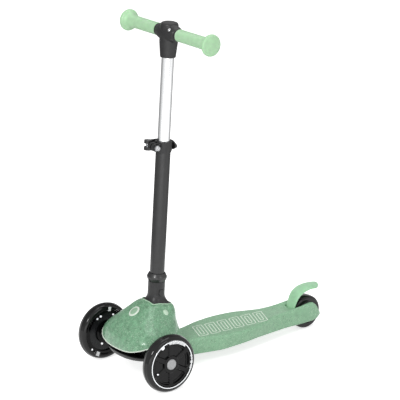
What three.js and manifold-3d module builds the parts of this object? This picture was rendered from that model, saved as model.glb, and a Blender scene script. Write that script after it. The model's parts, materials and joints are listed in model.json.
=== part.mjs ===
// Three wheel kids scooter, in millimetres. +Z is up, -Y is the way it rides, +X is the rider's left.
// The pieces are laid out from the ground under the middle of the front axle, and the whole is
// then moved so that the origin lies on the ground under the middle of its footprint.
import * as THREE from 'three';
import { mergeVertices } from 'three/addons/utils/BufferGeometryUtils.js';
import Module from 'manifold-3d';

const wasm = await Module();
wasm.setup();

// Layout of the scooter
const wheelbase = 443;
const barHeight = 703;
const stemFoot = 41.5;
const stemRakeDegrees = 3.8;
const seatGap = 0.3;
const runningGap = 0.4;
const cutOverrun = 3;

// Front wheels
const frontRadius = 60;
const bearingRadius = 11;
const bearingWidth = 7;
const bearingSetIn = 1;
const hubSpare = 10;
const frontWidth = 2 * bearingWidth + hubSpare;
const halfTrack = 113.4;
const tyreDepth = 9;
const tyreShoulder = 8;
const tyreCrown = 1;
const ringRadius = frontRadius - tyreDepth;
const ringWall = 3.6;
const ringProud = 0.5;
const coreSetIn = 1.8;
const coreHubRadius = 17;
const spokeCount = 6;
const spokeWidth = 8;
const spokeDepth = 1.6;
const capRadius = 11;
const capDome = 2.6;
const capWall = 1.4;
const axleRadius = 4;
const axleNutRadius = 6.8;
const axleNutHeight = 4.4;
const lightCount = 6;
const lightRadius = 2.4;
const lightHeight = 1.4;
const lightInset = 4.5;
const boardWall = 1.6;
const boardHubGap = 7;
const boardRimGap = 6.4;
const boardPocketDepth = 5;
const boardInner = coreHubRadius + boardHubGap;
const boardOuter = ringRadius - ringWall - boardRimGap;
const lightPitchRadius = boardOuter - lightInset;

// Rear wheel and the pin of its brake
const rearRadius = 36.8;
const rearWidth = 26;
const rearShoulder = 6;
const rearCoreRadius = 24;
const rearSideGap = 2.3;
const rearBearingSetIn = 0.5;
const rearBoreGap = 2;
const cheekSeat = 6;
const brakePinGap = 5.2;
const brakePinRise = 8.2;
const brakePinY = wheelbase - rearRadius - brakePinGap;
const brakePinZ = rearRadius + brakePinRise;

// Deck
const deckStart = 62;
const deckTail = 31;
const deckEnd = wheelbase + deckTail;
const deckTop = 56;
const deckHalfWidth = 56;
const deckEdge = 6;
const deckKeel = 4;
const deckWall = 3.5;
const cavityStart = 68;
const ribWall = 2.4;
const ribSpacing = 62;
const ribDrop = 3;
const longRibDrop = 8;
const slotStep = 1.3;
const slotStart = brakePinY + slotStep;
const slotFrontWall = 14.3;
const cavityEnd = slotStart - slotFrontWall;

// Hood
const hoodDrop = 2;
const hoodHeight = 90;
const hoodWheelGap = 15.4;
const hoodLow = frontRadius - hoodDrop;
const hoodHigh = hoodLow + hoodHeight;
const hoodHalfWidth = halfTrack - frontWidth / 2 - hoodWheelGap;
const hoodWall = 3;
const hoodLean = 0.24;
const lipGap = 6;
const lipHeight = hoodLow + lipGap;
const lipRise = 24;
const lipPower = 2.6;

// Steering: the truck turns on a kingpin that leans forward out of the axle's middle
const kingpinDegrees = 50;
const kingpinRadius = 4;
const pivotRadius = 15;
const pivotAbove = 7;
const pivotBelow = 20;
const washerHeight = 1.2;
const bracketBossHeight = 22;
const kingpinHeadRadius = 6.6;
const kingpinHeadHeight = 4.5;
const headRoomGap = 2;
const truckHigh = hoodLow;
const truckHeight = 13;
const truckLow = truckHigh - truckHeight;
const truckInset = 17;
const truckDepthShare = 0.64;
const truckHalfWidth = hoodHalfWidth - truckInset;
const truckHalfDepth = truckHalfWidth * truckDepthShare;
const truckWall = 3;
const axleBeamRadius = 9;
const axleInnerEnd = 26;
const spacerRadius = 6.5;
const spacerLength = 4.8;
const bumperPlace = 36;
const bumperRadius = 8;
const bumperHeight = 4;
const padRadius = 10;
const padProud = 1;
const padTop = frontRadius + axleBeamRadius + padProud;

// Steering bracket between deck, socket and kingpin
const bossWall = 2;
const bracketHalfWidth = pivotRadius + bossWall;
const seatDrop = 48.3;
const bracketSeat = hoodHigh - seatDrop;
const bracketFootGap = 5;
const bracketTailGap = 7;
const bracketPlate = 7;
const wingReach = 46;
const wingGap = 5;
const wingPlate = 7;
const wingLow = padTop + bumperHeight + wingGap;
const wingHigh = wingLow + wingPlate;
const wingHalfDepth = 10;

// Tubes of the stem
const lowerRadius = 15;
const lowerWall = 2;
const lowerTop = 481;
const tubeGap = 0.5;
const upperRadius = lowerRadius - lowerWall - tubeGap;
const upperWall = 1.5;
const upperFoot = 335;
const bushGap = 0.2;
const bushRadius = lowerRadius - lowerWall - bushGap;
const bushHeight = 8;
const bushSpigot = 10;
const bushWall = 2;

// Stem socket, its ring and its two push buttons
const socketFootRadius = 20;
const socketFloor = 12;
const socketWall = 2.5;
const socketRadius = lowerRadius + socketWall;
const skirtFlare = 12.5;
const skirtRadius = socketRadius + skirtFlare;
const skirtDrop = 9;
const skirtHeight = 27;
const skirtLow = hoodHigh - skirtDrop;
const skirtHigh = skirtLow + skirtHeight;
const skirtCurve = 2.2;
const skirtEdge = 2.5;
const neckHeight = 25;
const socketTop = skirtHigh + neckHeight;
const ringHeight = 17.5;
const ringTop = socketTop + ringHeight;
const ringFlare = 3;
const ringBulge = socketRadius + ringFlare;
const ringBelt = 1.6;
const buttonDrop = 21.5;
const buttonPlace = socketTop - buttonDrop;
const buttonWidth = 10;
const buttonHeight = 13.6;
const buttonCorner = 2.5;
const buttonProud = 1.2;
const springWall = 0.8;
const springWidth = 8;
const springGap = 2.1;
const springReach = lowerRadius - lowerWall - springGap;
const springRise = 16.3;
const springFoot = bracketSeat + socketFloor + springRise;
const buttonGap = 0.7;
const buttonInner = springReach + buttonGap;

// Quick-release clamp
const clampCover = 20;
const clampLid = 2.5;
const clampLow = lowerTop - clampCover;
const clampHigh = lowerTop + clampLid;
const clampWall = 2.2;
const clampSlit = 3;
const clampTaper = 5;
const edgeRound = 1;
const earRadius = 8;
const earStand = 9.4;
const earReach = lowerRadius + earStand;
const earOuter = 9;
const boltRadius = 3;
const boltRise = 0.7;
const boltHold = 2;
const nutRadius = 5.8;
const nutLength = 8.4;
const barrelRadius = 4;
const barrelPlace = 19;
const leverHeight = 20;
const leverHeadRadius = 8;
const leverSlot = 3.8;
const leverWall = 4;
const leverGap = 2;
const leverTipDegrees = 58;

// Handlebar
const barRadius = 11;
const barWall = 1.6;
const gripStart = 39;
const gripEnd = 141.5;
const gripWall = 1.6;
const gripRadius = barRadius + gripWall;
const gripFlare = 9.4;
const gripCapRadius = gripRadius + gripFlare;
const gripEndWall = 4;
const sleeveWall = 3.6;
const sleeveEndRadius = barRadius + sleeveWall;
const sleeveSwell = 2.9;
const sleeveMidRadius = sleeveEndRadius + sleeveSwell;
const neckLength = 49.5;
const neckWall = 3.1;
const neckFootRadius = upperRadius + neckWall;
const neckSwell = 2;
const neckRadius = neckFootRadius + neckSwell;
const neckDome = 22;
const barSaddle = 2.4;
const screwPlace = 18.5;
const screwDegrees = 43;
const screwRadius = 3;
const screwProud = 0.8;
const screwDepth = 4;

// Rear brake
const brakePinRadius = 2.5;
const brakePinSeat = 6.7;
const brakeKnuckle = 5;
const guardReachGap = 3.4;
const guardRiseGap = 15.2;
const guardSideGap = 4.4;
const brakeReach = 2 * rearRadius + guardReachGap;
const brakeRise = rearRadius + guardRiseGap;
const brakeHalfWidth = rearWidth / 2 + guardSideGap;
const brakeWall = 3.2;
const brakeCrown = 3;
const padWall = 2.6;
const padHalfWidth = 10;

// Smoothness of round forms
const wheelFacets = 32;
const tubeFacets = 20;
const smallFacets = 12;
const tinyFacets = 6;
const hoodFacets = 32;
const innerFacets = 20;
const rearFacets = 28;

const toRadians = THREE.MathUtils.degToRad;
const stemRake = toRadians(stemRakeDegrees);
const kingpinTilt = toRadians(kingpinDegrees);

// A closed geometry as a solid: shared vertices are merged, flat triangles dropped, faces turned out.
function solid(geometry) {
  const bare = geometry.index ? geometry.toNonIndexed() : geometry.clone();
  bare.deleteAttribute('normal');
  bare.deleteAttribute('uv');
  const merged = mergeVertices(bare, 1e-4);
  const index = merged.index.array;
  const kept = [];
  for (let i = 0; i < index.length; i += 3) {
    const [a, b, c] = [index[i], index[i + 1], index[i + 2]];
    if (a !== b && b !== c && c !== a) kept.push(a, b, c);
  }
  const build = (triangles) => new wasm.Manifold(new wasm.Mesh({
    numProp: 3,
    vertProperties: new Float32Array(merged.attributes.position.array),
    triVerts: new Uint32Array(triangles),
  }));
  const made = build(kept);
  if (made.volume() > 0) return made;
  for (let i = 0; i < kept.length; i += 3) [kept[i + 1], kept[i + 2]] = [kept[i + 2], kept[i + 1]];
  return build(kept);
}

const cut = (body, ...tools) => tools.reduce((left, tool) => left.subtract(tool), body);
const join = (body, ...others) => others.reduce((sum, other) => sum.add(other), body);

// A solid as the geometry of a mesh.
function geometryOf(made) {
  const { vertProperties, triVerts } = made.getMesh();
  const geometry = new THREE.BufferGeometry();
  geometry.setAttribute('position', new THREE.BufferAttribute(new Float32Array(vertProperties), 3));
  geometry.setIndex(new THREE.BufferAttribute(new Uint32Array(triVerts), 1));
  const flat = geometry.toNonIndexed();
  flat.computeVertexNormals();
  return flat;
}

// Finishes, by the slot that each piece takes
const finishes = {
  deckGreen: { color: 0x93b597, roughness: 0.55, metalness: 0 },
  hoodGreen: { color: 0x7fa586, roughness: 0.4, metalness: 0 },
  mint: { color: 0xb4dcb8, roughness: 0.5, metalness: 0 },
  blackPlastic: { color: 0x2c2d2e, roughness: 0.45, metalness: 0 },
  blackPaint: { color: 0x303132, roughness: 0.35, metalness: 0.3 },
  tyre: { color: 0x202122, roughness: 0.5, metalness: 0 },
  clearRing: { color: 0xe8ecee, roughness: 0.2, metalness: 0 },
  smoked: { color: 0x17181a, roughness: 0.25, metalness: 0 },
  chrome: { color: 0xd5d7d9, roughness: 0.18, metalness: 1 },
  steel: { color: 0xa9adb0, roughness: 0.35, metalness: 1 },
  greyCap: { color: 0xa4a7a9, roughness: 0.4, metalness: 0.4 },
  nylon: { color: 0xd9d6cc, roughness: 0.5, metalness: 0 },
  board: { color: 0xe9edf0, roughness: 0.3, metalness: 0 },
};

// Adds one named piece to a group.
function add(group, name, made, finish) {
  const mesh = new THREE.Mesh(geometryOf(made), new THREE.MeshStandardMaterial(finishes[finish]));
  mesh.name = name;
  group.add(mesh);
  return mesh;
}

// A solid of revolution about Z from [radius, height] points.
function revolve(profile, facets) {
  const points = profile.map(([radius, height]) => new THREE.Vector2(radius, height));
  return solid(new THREE.LatheGeometry(points, facets).rotateX(Math.PI / 2));
}

// The same about X: heights run along +X.
const revolveAlongX = (profile, facets) => turned(revolve(profile, facets), 'y', Math.PI / 2);

// A solid moved by a matrix, turned about one axis, or shifted.
const moved = (made, matrix) => made.transform(matrix.toArray());
function turned(made, axis, angle) {
  const matrix = new THREE.Matrix4()[`makeRotation${axis.toUpperCase()}`](angle);
  return moved(made, matrix);
}
const shifted = (made, x, y, z) => moved(made, new THREE.Matrix4().makeTranslation(x, y, z));

// The largest connected body of a solid, without the loose slivers that its cuts leave.
function mainBody(made) {
  return made.decompose().reduce((best, piece) => (piece.volume() > best.volume() ? piece : best));
}

// A rod on the Z axis between two heights, and the same on the X axis.
function rod(radius, low, high, facets) {
  return revolve([[0, low], [radius, low], [radius, high], [0, high]], facets);
}
const rodAlongX = (radius, low, high, facets) => turned(rod(radius, low, high, facets), 'y', Math.PI / 2);

// A tube on the Z axis.
function tube(outer, inner, low, high, facets) {
  return revolve([[inner, low], [outer, low], [outer, high], [inner, high], [inner, low]], facets);
}

// A box between two corners.
function box(low, high) {
  const size = high.map((value, k) => value - low[k]);
  const middle = high.map((value, k) => (value + low[k]) / 2);
  return solid(new THREE.BoxGeometry(...size).translate(...middle));
}

// A skin over a row of rings with as many points each, closed by a fan at both ends.
function loft(rings) {
  const count = rings[0].length;
  const positions = rings.flat().flatMap((point) => point.toArray());
  const triangles = [];
  for (let i = 0; i + 1 < rings.length; i += 1) {
    for (let j = 0; j < count; j += 1) {
      const [a, b] = [i * count + j, i * count + ((j + 1) % count)];
      triangles.push(a, b, b + count, a, b + count, a + count);
    }
  }
  [0, rings.length - 1].forEach((ring) => {
    const middle = rings[ring].reduce((sum, point) => sum.clone().add(point), new THREE.Vector3());
    const hub = positions.length / 3;
    positions.push(...middle.divideScalar(count).toArray());
    for (let j = 0; j < count; j += 1) {
      const [a, b] = [ring * count + j, ring * count + ((j + 1) % count)];
      if (ring) triangles.push(a, b, hub);
      else triangles.push(b, a, hub);
    }
  });
  const geometry = new THREE.BufferGeometry();
  geometry.setAttribute('position', new THREE.Float32BufferAttribute(positions, 3));
  geometry.setIndex(triangles);
  return solid(geometry);
}

// A plate: an outline in two directions, thickened along the third. The outline is [y, z] for 'x'.
function plateAlongX(outline, halfWidth) {
  const shape = new THREE.Shape(outline.map(([y, z]) => new THREE.Vector2(y, z)));
  const geometry = new THREE.ExtrudeGeometry(shape, { depth: 2 * halfWidth, bevelEnabled: false });
  const upright = new THREE.Matrix4().makeBasis(
    new THREE.Vector3(0, 1, 0), new THREE.Vector3(0, 0, 1), new THREE.Vector3(1, 0, 0),
  );
  return shifted(solid(geometry.applyMatrix4(upright)), -halfWidth, 0, 0);
}

// Slopes of a curve through table rows that never overshoots a row.
function tableSlopes(rows, column) {
  const steps = rows.slice(1).map((row, i) => (row[column] - rows[i][column]) / (row[0] - rows[i][0]));
  return rows.map((row, i) => {
    if (i === 0) return steps[0];
    if (i === rows.length - 1) return steps[i - 1];
    const [before, after] = [steps[i - 1], steps[i]];
    return before * after > 0 ? (2 * before * after) / (before + after) : 0;
  });
}

// Every column of a table at one place along its first column, by smooth curves through the rows.
function tableReader(rows) {
  const slopes = rows[0].map((unused, column) => (column ? tableSlopes(rows, column) : null));
  return (place) => {
    const found = rows.findIndex((row, i) => i > 0 && place <= row[0]);
    const i = (found < 0 ? rows.length - 1 : found) - 1;
    const span = rows[i + 1][0] - rows[i][0];
    const t = (place - rows[i][0]) / span;
    return rows[i].slice(1).map((unused, k) => {
      const column = k + 1;
      const [from, to] = [rows[i][column], rows[i + 1][column]];
      const [rise, fall] = [slopes[column][i] * span, slopes[column][i + 1] * span];
      const [t2, t3] = [t * t, t * t * t];
      return (2 * t3 - 3 * t2 + 1) * from + (t3 - 2 * t2 + t) * rise
        + (3 * t2 - 2 * t3) * to + (t3 - t2) * fall;
    });
  };
}

// Places from 0 to 1, by even steps.
const evenShares = (count) => Array.from({ length: count + 1 }, (unused, i) => i / count);

// Rounded oval round a middle: its front and rear halves have their own reach and squareness.
function ovalRing(points, { x, y, z, half, front, rear, frontPower, rearPower, lean = 0, leanFrom = 0 }) {
  return Array.from({ length: points }, (unused, i) => {
    const angle = (2 * Math.PI * i) / points;
    const [c, s] = [Math.cos(angle), Math.sin(angle)];
    const power = 2 / (s < 0 ? frontPower : rearPower);
    const across = x + half * Math.sign(c) * Math.abs(c) ** power;
    const along = y + (s < 0 ? front : rear) * Math.sign(s) * Math.abs(s) ** power;
    return new THREE.Vector3(across, along, z - lean * (along - leanFrom));
  });
}

// Deck section at one place along it: a flat top with round edges over sides that draw in.
function deckRing(y, [topHalf, lowHalf, top, low, dish]) {
  const corner = (cx, cz, radius, from, to, steps) => evenShares(steps).map((share) => {
    const angle = toRadians(from + (to - from) * share);
    return [cx + radius * Math.cos(angle), cz + radius * Math.sin(angle)];
  });
  const right = [
    ...corner(lowHalf - deckKeel, low + deckKeel, Math.min(deckKeel, lowHalf, (top - low) / 2), -90, -10, 2),
    ...corner(topHalf - deckEdge, top - deckEdge, Math.min(deckEdge, topHalf, (top - low) / 2), 0, 90, 3),
    [topHalf / 2, top - dish * 0.8],
  ];
  const left = right.map(([x, z]) => [-x, z]).reverse();
  return [...right, [0, top - dish], ...left].map(([x, z]) => new THREE.Vector3(x, y, z));
}

// Rows: share of the deck's length, half widths at top and keel, heights of top and keel, and how
// far the top dips between its edges, as shares.
const deckShares = [
  [0, 0.6, 0.64, 1.02, 0.45, 0],
  [0.117, 0.61, 0.68, 1.03, 0.44, 0],
  [0.19, 0.68, 0.77, 1.02, 0.43, 0],
  [0.25, 0.8, 0.85, 1.01, 0.42, 0],
  [0.31, 0.93, 0.9, 1, 0.41, 0],
  [0.42, 1, 0.88, 1, 0.42, 0],
  [0.53, 0.92, 0.77, 1, 0.42, 0],
  [0.61, 0.72, 0.67, 1, 0.4, 0],
  [0.69, 0.54, 0.58, 1, 0.38, 0.01],
  [0.77, 0.5, 0.52, 1.01, 0.37, 0.06],
  [0.85, 0.5, 0.51, 1.05, 0.36, 0.12],
  [0.93, 0.49, 0.49, 1.1, 0.36, 0.06],
  [0.961, 0.46, 0.46, 0.98, 0.38, 0.02],
  [0.985, 0.4, 0.4, 0.74, 0.43, 0],
  [1, 0.34, 0.34, 0.64, 0.46, 0],
];
const deckStationShares = [
  0, 0.13, 0.19, 0.25, 0.31, 0.37, 0.42, 0.48, 0.53, 0.58, 0.63, 0.69, 0.77, 0.83, 0.88, 0.93, 0.961,
  0.98, 1,
];
const deckAt = tableReader(deckShares);
const pocketShares = [0, 0.15, 0.3, 0.5, 0.65, 0.8, 1];
const keelShare = 0.43;

// The deck's outer form, grown by a clearance or shrunk by a wall, between two places along it.
function deckForm(grow, low, high, stations) {
  const length = deckEnd - deckStart;
  const rings = stations.filter((share) => share >= low && share <= high).map((share) => {
    const [topHalf, lowHalf, top, keel, dish] = deckAt(share);
    return deckRing(deckStart + length * share, [
      topHalf * deckHalfWidth + grow,
      lowHalf * deckHalfWidth + grow,
      top * deckTop + grow,
      keel * deckTop - grow,
      dish * deckTop,
    ]);
  });
  return loft(rings);
}

// The open space under the deck's top, left out between crossing ribs.
function deckPockets() {
  const space = loft(pocketShares.map((share) => {
    const y = cavityStart + (cavityEnd - cavityStart) * share;
    const [topHalf, lowHalf, top, keel, dish] = deckAt((y - deckStart) / (deckEnd - deckStart));
    const [high, low] = [(top - dish) * deckTop - deckWall, keel * deckTop - cutOverrun];
    const [upper, lower] = [topHalf * deckHalfWidth - deckWall, lowHalf * deckHalfWidth - deckWall];
    return [
      [lower, low],
      [upper, high - deckWall],
      [upper - deckWall, high],
      [deckWall - upper, high],
      [-upper, high - deckWall],
      [-lower, low],
    ].map(([x, z]) => new THREE.Vector3(x, y, z));
  }));
  const keelHeight = keelShare * deckTop;
  const ribs = [];
  for (let y = cavityStart + ribSpacing; y < cavityEnd - ribWall; y += ribSpacing) {
    ribs.push(box([-deckHalfWidth, y, keelHeight + ribDrop], [deckHalfWidth, y + ribWall, deckTop]));
  }
  const third = (deckHalfWidth - deckWall) / 3;
  [-third, third].forEach((x) => {
    const low = [x - ribWall / 2, cavityStart, keelHeight + longRibDrop];
    ribs.push(box(low, [x + ribWall / 2, cavityEnd, deckTop]));
  });
  return cut(space, ...ribs);
}

const rearAxle = { y: wheelbase, z: rearRadius };
const slotHalf = rearWidth / 2 + rearSideGap;
const brakePinReach = slotHalf + brakePinSeat;

function makeDeck(group) {
  const slotTop = deckTop + deckEnd - slotStart;
  const slot = box([-slotHalf, slotStart, -cutOverrun], [slotHalf, deckEnd + cutOverrun, slotTop]);
  const knuckleRoom = rodAlongX(brakeKnuckle + runningGap, -slotHalf, slotHalf, smallFacets);
  const pinHole = rodAlongX(brakePinRadius + seatGap, -brakePinReach, brakePinReach, smallFacets);
  const axleHole = rodAlongX(axleRadius + seatGap, -deckHalfWidth, slotHalf + cutOverrun, smallFacets);
  const headHole = rodAlongX(kingpinHeadRadius + runningGap, -deckHalfWidth, -rearHeadSeat, smallFacets);
  const nutHole = rodAlongX(axleNutRadius + seatGap, 0, slotHalf + axleNutHeight + seatGap, 6);
  add(group, 'deck', cut(
    deckForm(0, 0, 1, deckStationShares),
    deckPockets(),
    slot,
    shifted(knuckleRoom, 0, brakePinY, brakePinZ),
    shifted(pinHole, 0, brakePinY, brakePinZ),
    shifted(axleHole, 0, rearAxle.y, rearAxle.z),
    shifted(headHole, 0, rearAxle.y, rearAxle.z),
    shifted(nutHole, 0, rearAxle.y, rearAxle.z),
  ), 'deckGreen');
}

// Rows: share of the hood's height, half width, middle, front reach, rear reach as shares of the half
// width, squareness of front and rear, and how far the section leans back with the rim.
const hoodShares = [
  [0, 0.93, 0.07, 0.593, 1.07, 2.6, 1.8, 0],
  [0.19, 1, 0.07, 0.64, 1.058, 2.6, 1.8, 0],
  [0.356, 0.971, 0.093, 0.628, 1.012, 2.6, 1.8, 0],
  [0.5, 0.855, 0.14, 0.581, 0.93, 2.6, 1.9, 0.08],
  [0.644, 0.663, 0.233, 0.512, 0.802, 2.6, 2, 0.25],
  [0.8, 0.494, 0.395, 0.407, 0.605, 2.8, 2.3, 0.6],
  [0.9, 0.395, 0.512, 0.36, 0.453, 3, 2.6, 0.9],
  [0.967, 0.337, 0.57, 0.314, 0.36, 2.8, 2.6, 1],
  [1, 0.285, 0.593, 0.273, 0.291, 2.4, 2.4, 1],
];
const hoodAt = tableReader(hoodShares);
const hoodStationShares = [0, 0.19, 0.31, 0.43, 0.54, 0.65, 0.76, 0.86, 0.94, 1];
const hoodInnerShares = [0, 0.3, 0.55, 0.78, 1];

// The hood's form, shrunk by a wall.
function hoodForm(shrink, points, stations) {
  const rings = stations.map((share) => {
    const [half, middle, front, rear, frontPower, rearPower, lean] = hoodAt(share);
    return ovalRing(points, {
      x: 0,
      y: middle * hoodHalfWidth,
      z: hoodLow + (hoodHigh - hoodLow) * share - (share ? shrink : cutOverrun * Math.sign(shrink)),
      half: half * hoodHalfWidth - shrink,
      front: front * hoodHalfWidth - shrink,
      rear: rear * hoodHalfWidth - shrink,
      frontPower,
      rearPower,
      lean: lean * hoodLean,
      leanFrom: stemFoot + hoodHigh * Math.tan(stemRake),
    });
  });
  return loft(rings);
}

// What is cut off below the hood's lip, which rises from the nose to the wheels on both sides.
function belowLip() {
  const reach = hoodHalfWidth + cutOverrun;
  const low = hoodLow - 2 * cutOverrun;
  const outline = [new THREE.Vector2(-reach, low), new THREE.Vector2(reach, low)];
  evenShares(12).forEach((share) => {
    const x = reach * (1 - 2 * share);
    outline.push(new THREE.Vector2(x, lipHeight + lipRise * Math.abs(x / hoodHalfWidth) ** lipPower));
  });
  const shape = new THREE.Shape(outline);
  const depth = 2 * hoodHalfWidth * (1 + hoodShares[0][4]);
  const plate = solid(new THREE.ExtrudeGeometry(shape, { depth, bevelEnabled: false }));
  return shifted(turned(plate, 'x', Math.PI / 2), 0, depth / 2, 0);
}

// The stem's own frame stands on the ground behind the front axle and leans back.
const stemMatrix = new THREE.Matrix4().makeTranslation(0, stemFoot, 0)
  .multiply(new THREE.Matrix4().makeRotationX(-stemRake));

const skirtRadiusAt = (share) => socketRadius + (skirtRadius - socketRadius) * (1 - share) ** skirtCurve;

// The trumpet outline of the socket's skirt, from its rim up to the straight part.
function skirtProfile(grow) {
  return evenShares(5).map((share) => [skirtRadiusAt(share) + grow, skirtLow + skirtHeight * share]);
}

// The deck's nose with its clearance, which is cut out of what stands on it.
const deckSpace = deckForm(seatGap, 0, 0.31, deckStationShares);

function makeHood(group) {
  const shell = cut(
    hoodForm(0, hoodFacets, hoodStationShares),
    hoodForm(hoodWall, innerFacets, hoodInnerShares),
  );
  const plug = revolve([
    [0, bracketSeat],
    [skirtRadius + runningGap, bracketSeat],
    [skirtRadius + runningGap, skirtLow],
    ...skirtProfile(runningGap),
    [0, skirtHigh],
  ], tubeFacets);
  add(group, 'front_hood', mainBody(cut(shell, belowLip(), moved(plug, stemMatrix), deckSpace)), 'hoodGreen');
}

// The kingpin's own frame: its Z axis leans forward out of the middle of the front axle.
const kingpinMatrix = new THREE.Matrix4().makeTranslation(0, 0, frontRadius)
  .multiply(new THREE.Matrix4().makeRotationX(Math.PI / 2 - kingpinTilt));

function makeBracket(group) {
  const bossFoot = pivotAbove + washerHeight + 2 * seatGap;
  const bossTop = bossFoot + bracketBossHeight;
  const boss = moved(rod(bracketHalfWidth, bossFoot, bossTop, tubeFacets), kingpinMatrix);
  const seatFoot = truckHigh + bracketFootGap;
  const seat = moved(rod(socketFootRadius, seatFoot, bracketSeat, tubeFacets), stemMatrix);
  const onKingpin = (along, across) => new THREE.Vector3(0, across, along).applyMatrix4(kingpinMatrix);
  const onSeat = (along) => new THREE.Vector3(0, along, bracketSeat - seatGap).applyMatrix4(stemMatrix);
  const [seatRear, seatFront] = [onSeat(socketFootRadius / 2), onSeat(-socketFootRadius / 2)];
  const low = onKingpin(bossFoot, bracketHalfWidth - seatGap);
  const high = onKingpin(bossTop, bracketHalfWidth / 2);
  const middle = onKingpin(bossTop, 0);
  const deckFace = deckTop * deckShares[1][3] + seatGap;
  const seatY = stemFoot + bracketSeat * Math.tan(stemRake);
  const tail = hoodHalfWidth * (hoodShares[0][2] + hoodShares[0][4]) - hoodWall - bracketTailGap;
  const spine = plateAlongX([
    [low.y, low.z],
    [seatY - socketFootRadius, low.z - bracketPlate],
    [deckStart, deckFace],
    [tail, deckFace],
    [tail, deckFace + bracketPlate],
    [seatY + socketFootRadius, deckFace + 2 * bracketPlate],
    [seatRear.y, seatRear.z],
    [seatFront.y, seatFront.z],
    [high.y, high.z],
    [middle.y, middle.z],
  ], bracketHalfWidth);
  const wing = box([-wingReach, -wingHalfDepth, wingLow], [wingReach, wingHalfDepth, wingHigh]);
  const clearHub = moved(rod(pivotRadius + 2 * runningGap, -pivotBelow, bossFoot, tubeFacets), kingpinMatrix);
  const top = bossTop + seatGap;
  const bore = moved(rod(kingpinRadius + seatGap, 0, top + cutOverrun, smallFacets), kingpinMatrix);
  const bracket = cut(join(boss, seat, spine, wing), clearHub, bore, deckSpace);
  add(group, 'steering_bracket', mainBody(bracket), 'blackPaint');

  const foot = -pivotBelow - seatGap;
  const shank = rod(kingpinRadius, foot - kingpinHeadHeight / 2, top + axleNutHeight, smallFacets);
  const head = rod(kingpinHeadRadius, foot - kingpinHeadHeight, foot, 6);
  add(group, 'kingpin', moved(join(shank, head), kingpinMatrix), 'steel');
  const thread = rod(kingpinRadius + seatGap, 0, 2 * top, smallFacets);
  const nut = cut(rod(axleNutRadius, top, top + axleNutHeight, 6), thread);
  add(group, 'kingpin_nut', moved(nut, kingpinMatrix), 'steel');
}

// Rows: share of the truck's height, half width, half depth and squareness, as shares.
const truckShares = [
  [0, 0.6, 0.62, 2],
  [0.12, 0.75, 0.76, 2.1],
  [0.4, 0.92, 0.93, 2.2],
  [0.7, 0.98, 0.98, 2.3],
  [1, 1, 1, 2.4],
];
const truckAt = tableReader(truckShares);
const truckStationShares = [0, 0.12, 0.4, 1];
const truckInnerShares = [0, 0.4, 1];

function truckForm(shrink, points, stations) {
  return loft(stations.map((share) => {
    const [half, deep, power] = truckAt(share);
    return ovalRing(points, {
      x: 0,
      y: 0,
      z: truckLow + (truckHigh - truckLow) * share + shrink,
      half: half * truckHalfWidth - shrink,
      front: deep * truckHalfDepth - shrink,
      rear: deep * truckHalfDepth - shrink,
      frontPower: power,
      rearPower: power,
    });
  }));
}

// Heights along a front wheel's own axis, which points outboard from the wheel's middle.
const innerBearingLow = bearingSetIn - frontWidth / 2;
const outerBearingLow = innerBearingLow + bearingWidth + seatGap;
const axleNutLow = outerBearingLow + bearingWidth + seatGap;
const axleEnd = axleNutLow + axleNutHeight + seatGap;
const axleBeamEnd = halfTrack + innerBearingLow - spacerLength - 2 * seatGap;

function makeTruck(group) {
  const shell = cut(
    truckForm(0, tubeFacets, truckStationShares),
    truckForm(truckWall, innerFacets, truckInnerShares),
  );
  const hub = moved(rod(pivotRadius, -pivotBelow, pivotAbove, tubeFacets), kingpinMatrix);
  const beam = shifted(rodAlongX(axleBeamRadius, -axleBeamEnd, axleBeamEnd, tubeFacets), 0, 0, frontRadius);
  const webEnd = truckHalfWidth - truckWall;
  const web = box([-webEnd, -truckWall / 2, truckLow + truckWall], [webEnd, truckWall / 2, frontRadius]);
  const pad = rod(padRadius, truckLow + truckWall, padTop, smallFacets);
  const pads = [-bumperPlace, bumperPlace].map((x) => shifted(pad, x, 0, 0));
  const bore = rod(axleRadius + seatGap, axleInnerEnd - seatGap, axleBeamEnd + cutOverrun, smallFacets);
  const bores = [-1, 1].map((side) => shifted(turned(bore, 'y', (side * Math.PI) / 2), 0, 0, frontRadius));
  const onKingpin = (radius, low, high) => moved(rod(radius, low, high, smallFacets), kingpinMatrix);
  const pinBore = onKingpin(kingpinRadius + seatGap, -2 * pivotBelow, 2 * pivotAbove);
  const headRoom = onKingpin(kingpinHeadRadius + headRoomGap, -3 * pivotBelow, -pivotBelow);
  const hubTop = onKingpin(3 * pivotRadius, pivotAbove, 3 * pivotRadius);
  const nearX = bracketHalfWidth + 2 * runningGap;
  const nearHub = box([-nearX, -3 * pivotRadius, 0], [nearX, 3 * pivotRadius, 3 * frontRadius]);
  const casting = join(shell, hub, beam, web, ...pads);
  const truck = mainBody(cut(casting, ...bores, pinBore, headRoom, hubTop.intersect(nearHub)));
  add(group, 'truck', truck, 'blackPlastic');

  const washerLow = pivotAbove + seatGap;
  const washer = tube(pivotRadius, kingpinRadius + seatGap, washerLow, washerLow + washerHeight, tubeFacets);
  add(group, 'steering_washer', moved(washer, kingpinMatrix), 'nylon');
  [['left', 1], ['right', -1]].forEach(([name, side]) => {
    const bumper = revolve([
      [0, padTop + seatGap],
      [bumperRadius, padTop + seatGap],
      [bumperRadius, padTop + bumperHeight / 2],
      [bumperRadius * 0.7, padTop + bumperHeight],
      [0, padTop + bumperHeight],
    ], smallFacets);
    add(group, `steering_bumper_${name}`, shifted(bumper, side * bumperPlace, 0, 0), 'tyre');
  });
}

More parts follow.
